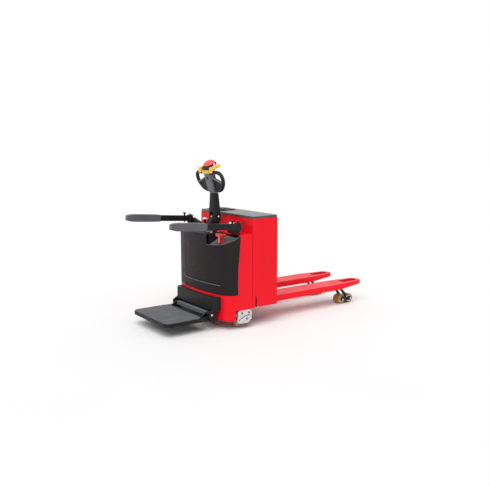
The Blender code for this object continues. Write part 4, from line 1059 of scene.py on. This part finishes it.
def battery_tops():
    """Vent caps, posts and bridge straps on the battery's cells."""
    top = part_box("battery")[1].z
    cells = [-0.2925 + 0.117 * k for k in range(6)]
    caps = [((-0.182, y + shift, top), (0, 0, 1)) for y in cells for shift in (-0.024, 0.024)]
    fasteners("cell_caps", "carriage", "yellow_plastic", dome_cap(0.0125), caps)
    posts = [((x, y, top), (0, 0, 1)) for y in cells for x in (-0.250, -0.114)]
    fasteners("cell_posts", "carriage", "bright_steel", hex_head(0.0105), posts)
    straps = []
    for k, (a, b) in enumerate(zip(cells, cells[1:])):
        x = -0.250 if k % 2 else -0.114
        strap = cube((x - 0.010, x + 0.010), (a, b), (top + 0.0008, top + 0.0040))
        straps.append(soften(strap, 0.0010))
    dress(joined(straps), "cell_straps", "carriage", "cast_iron")


def fork_welds(name, side):
    """Beads where a fork meets the box."""
    low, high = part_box("fork_" + name)
    x = low.x + 0.0006
    start, end = (x, low.y + 0.004, high.z), (x, high.y - 0.004, high.z)
    weld("fork_weld_top_" + name, "carriage", start, end, 0.0030)
    for label, y in (("inner", low.y), ("outer", high.y)):
        start, end = (x, y, low.z + 0.004), (x, y, high.z - 0.002)
        weld("fork_weld_" + label + "_" + name, "carriage", start, end, 0.0026)


def slot_liner(name, side):
    """Black plate behind the open slot in the box's side."""
    inner, outer = sorted((side * 0.3560, side * 0.3595))
    plate = cube((-0.2900, -0.2500), (inner, outer), (0.1560, 0.2460))
    dress(soften(plate, 0.0006), "slot_liner_" + name, "carriage", "black_paint")


def box_louvres():
    """Pressed vents on the rear of the battery box."""
    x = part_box("battery_box")[1].x
    slats = []
    for row in range(5):
        for side in SIDES.values():
            z = 0.700 + 0.018 * row
            middle = side * 0.150
            slat = cube((x - 0.0005, x + 0.0042), (middle - 0.045, middle + 0.045), (z, z + 0.0085))
            for vertex in slat.data.vertices:
                if vertex.co.x > x and vertex.co.z > z + 0.004:
                    vertex.co.x = x + 0.0002
            slats.append(soften(slat, 0.0011))
    dress(joined(slats), "box_louvres", "carriage", "red_paint")


# ---------------------------------------------------------------- the rest of the frame

SOFTENED = {  # edge radius of the nodes that only need their edges eased
    "tractor_frame": 0.0014,
    "battery_box": 0.0014,
    "fork_near": 0.0016,
    "fork_far": 0.0016,
    "platform_bracket": 0.0018,
    "step_plate": 0.0016,
    "side_arm_near": 0.0014,
    "side_arm_far": 0.0014,
    "tiller_column": 0.0014,
    "tiller_head": 0.0016,
}
EDGE = 0.0008


def ease_the_rest():
    """Softened copies of every node that nothing else stands for."""
    for node, obj in frame["nodes"].items():
        if obj.hide_render:
            continue
        stand_for(soften(merged_copy(node), SOFTENED.get(node, EDGE)), node)


# ---------------------------------------------------------------- studio

def studio():
    """Pale floor, white surroundings and one broad key light."""
    bpy.ops.mesh.primitive_plane_add(size=80)
    floor = bpy.context.active_object
    floor.name = "floor"
    paper = Finish("floor_paper", (0.90, 0.90, 0.90), 0.85)
    paper.tint(paper.noise(0.6, 2), (0.89, 0.89, 0.89), (0.91, 0.91, 0.91))
    floor.data.materials.append(paper.material)
    world = bpy.data.worlds.new("studio")
    bpy.context.scene.world = world
    world.use_nodes = True
    tree = world.node_tree
    rays = tree.nodes.new("ShaderNodeLightPath")
    soft = tree.nodes.new("ShaderNodeMapRange")
    soft.inputs["To Min"].default_value = 1.0
    soft.inputs["To Max"].default_value = 0.5
    tree.links.new(rays.outputs["Is Diffuse Ray"], soft.inputs["Value"])
    tree.nodes["Background"].inputs["Color"].default_value = (1.0, 1.0, 1.0, 1.0)
    tree.links.new(soft.outputs["Result"], tree.nodes["Background"].inputs["Strength"])
    bpy.ops.object.light_add(type="SUN", location=(-2, -2, 4))
    key = bpy.context.active_object
    key.name = "key"
    key.data.energy = 2.4
    key.data.angle = radians(50)
    key.rotation_euler = Vector((1.0, 1.0, -1.9)).to_track_quat("-Z", "Y").to_euler()


def camera():
    """Eye-level view from the step's near corner."""
    data = bpy.data.cameras.new("camera")
    data.lens = 48.23
    obj = bpy.data.objects.new("camera", data)
    bpy.context.scene.collection.objects.link(obj)
    obj.location = (-3.2386, -4.3169, 1.4222)
    obj.rotation_euler = (radians(81.03), 0, radians(-35.93))
    bpy.context.scene.camera = obj


def build():
    """Everything in the order in which it is made."""
    camera()
    studio()
    front_cover()
    cover_screws()
    tray_mat()
    gauge()
    key_switch()
    disconnect_handle()
    deck_studs()
    bracket_shell()
    step_bracket_bolts()
    step_mat()
    step_fittings()
    dome()
    collar()
    head_trim()
    throttle()
    column_bolts()
    slewing_ring()
    drive_tyre()
    lid()
    lid_hinges()
    battery_tops()
    box_louvres()
    for name, side in SIDES.items():
        arm_pad(name, side)
        arm_fittings(name, side)
        arm_gusset(name, side)
        loop(name, side)
        axle_ends(name, side)
        caster_trim(name, side)
        fork_welds(name, side)
        slot_liner(name, side)
        caster_wheel("caster_wheel_" + name)
        for end in ("rear", "front"):
            load_wheel("load_wheel_" + name + "_" + end)
    ease_the_rest()


build()
bpy.context.scene.view_settings.view_transform = "Standard"
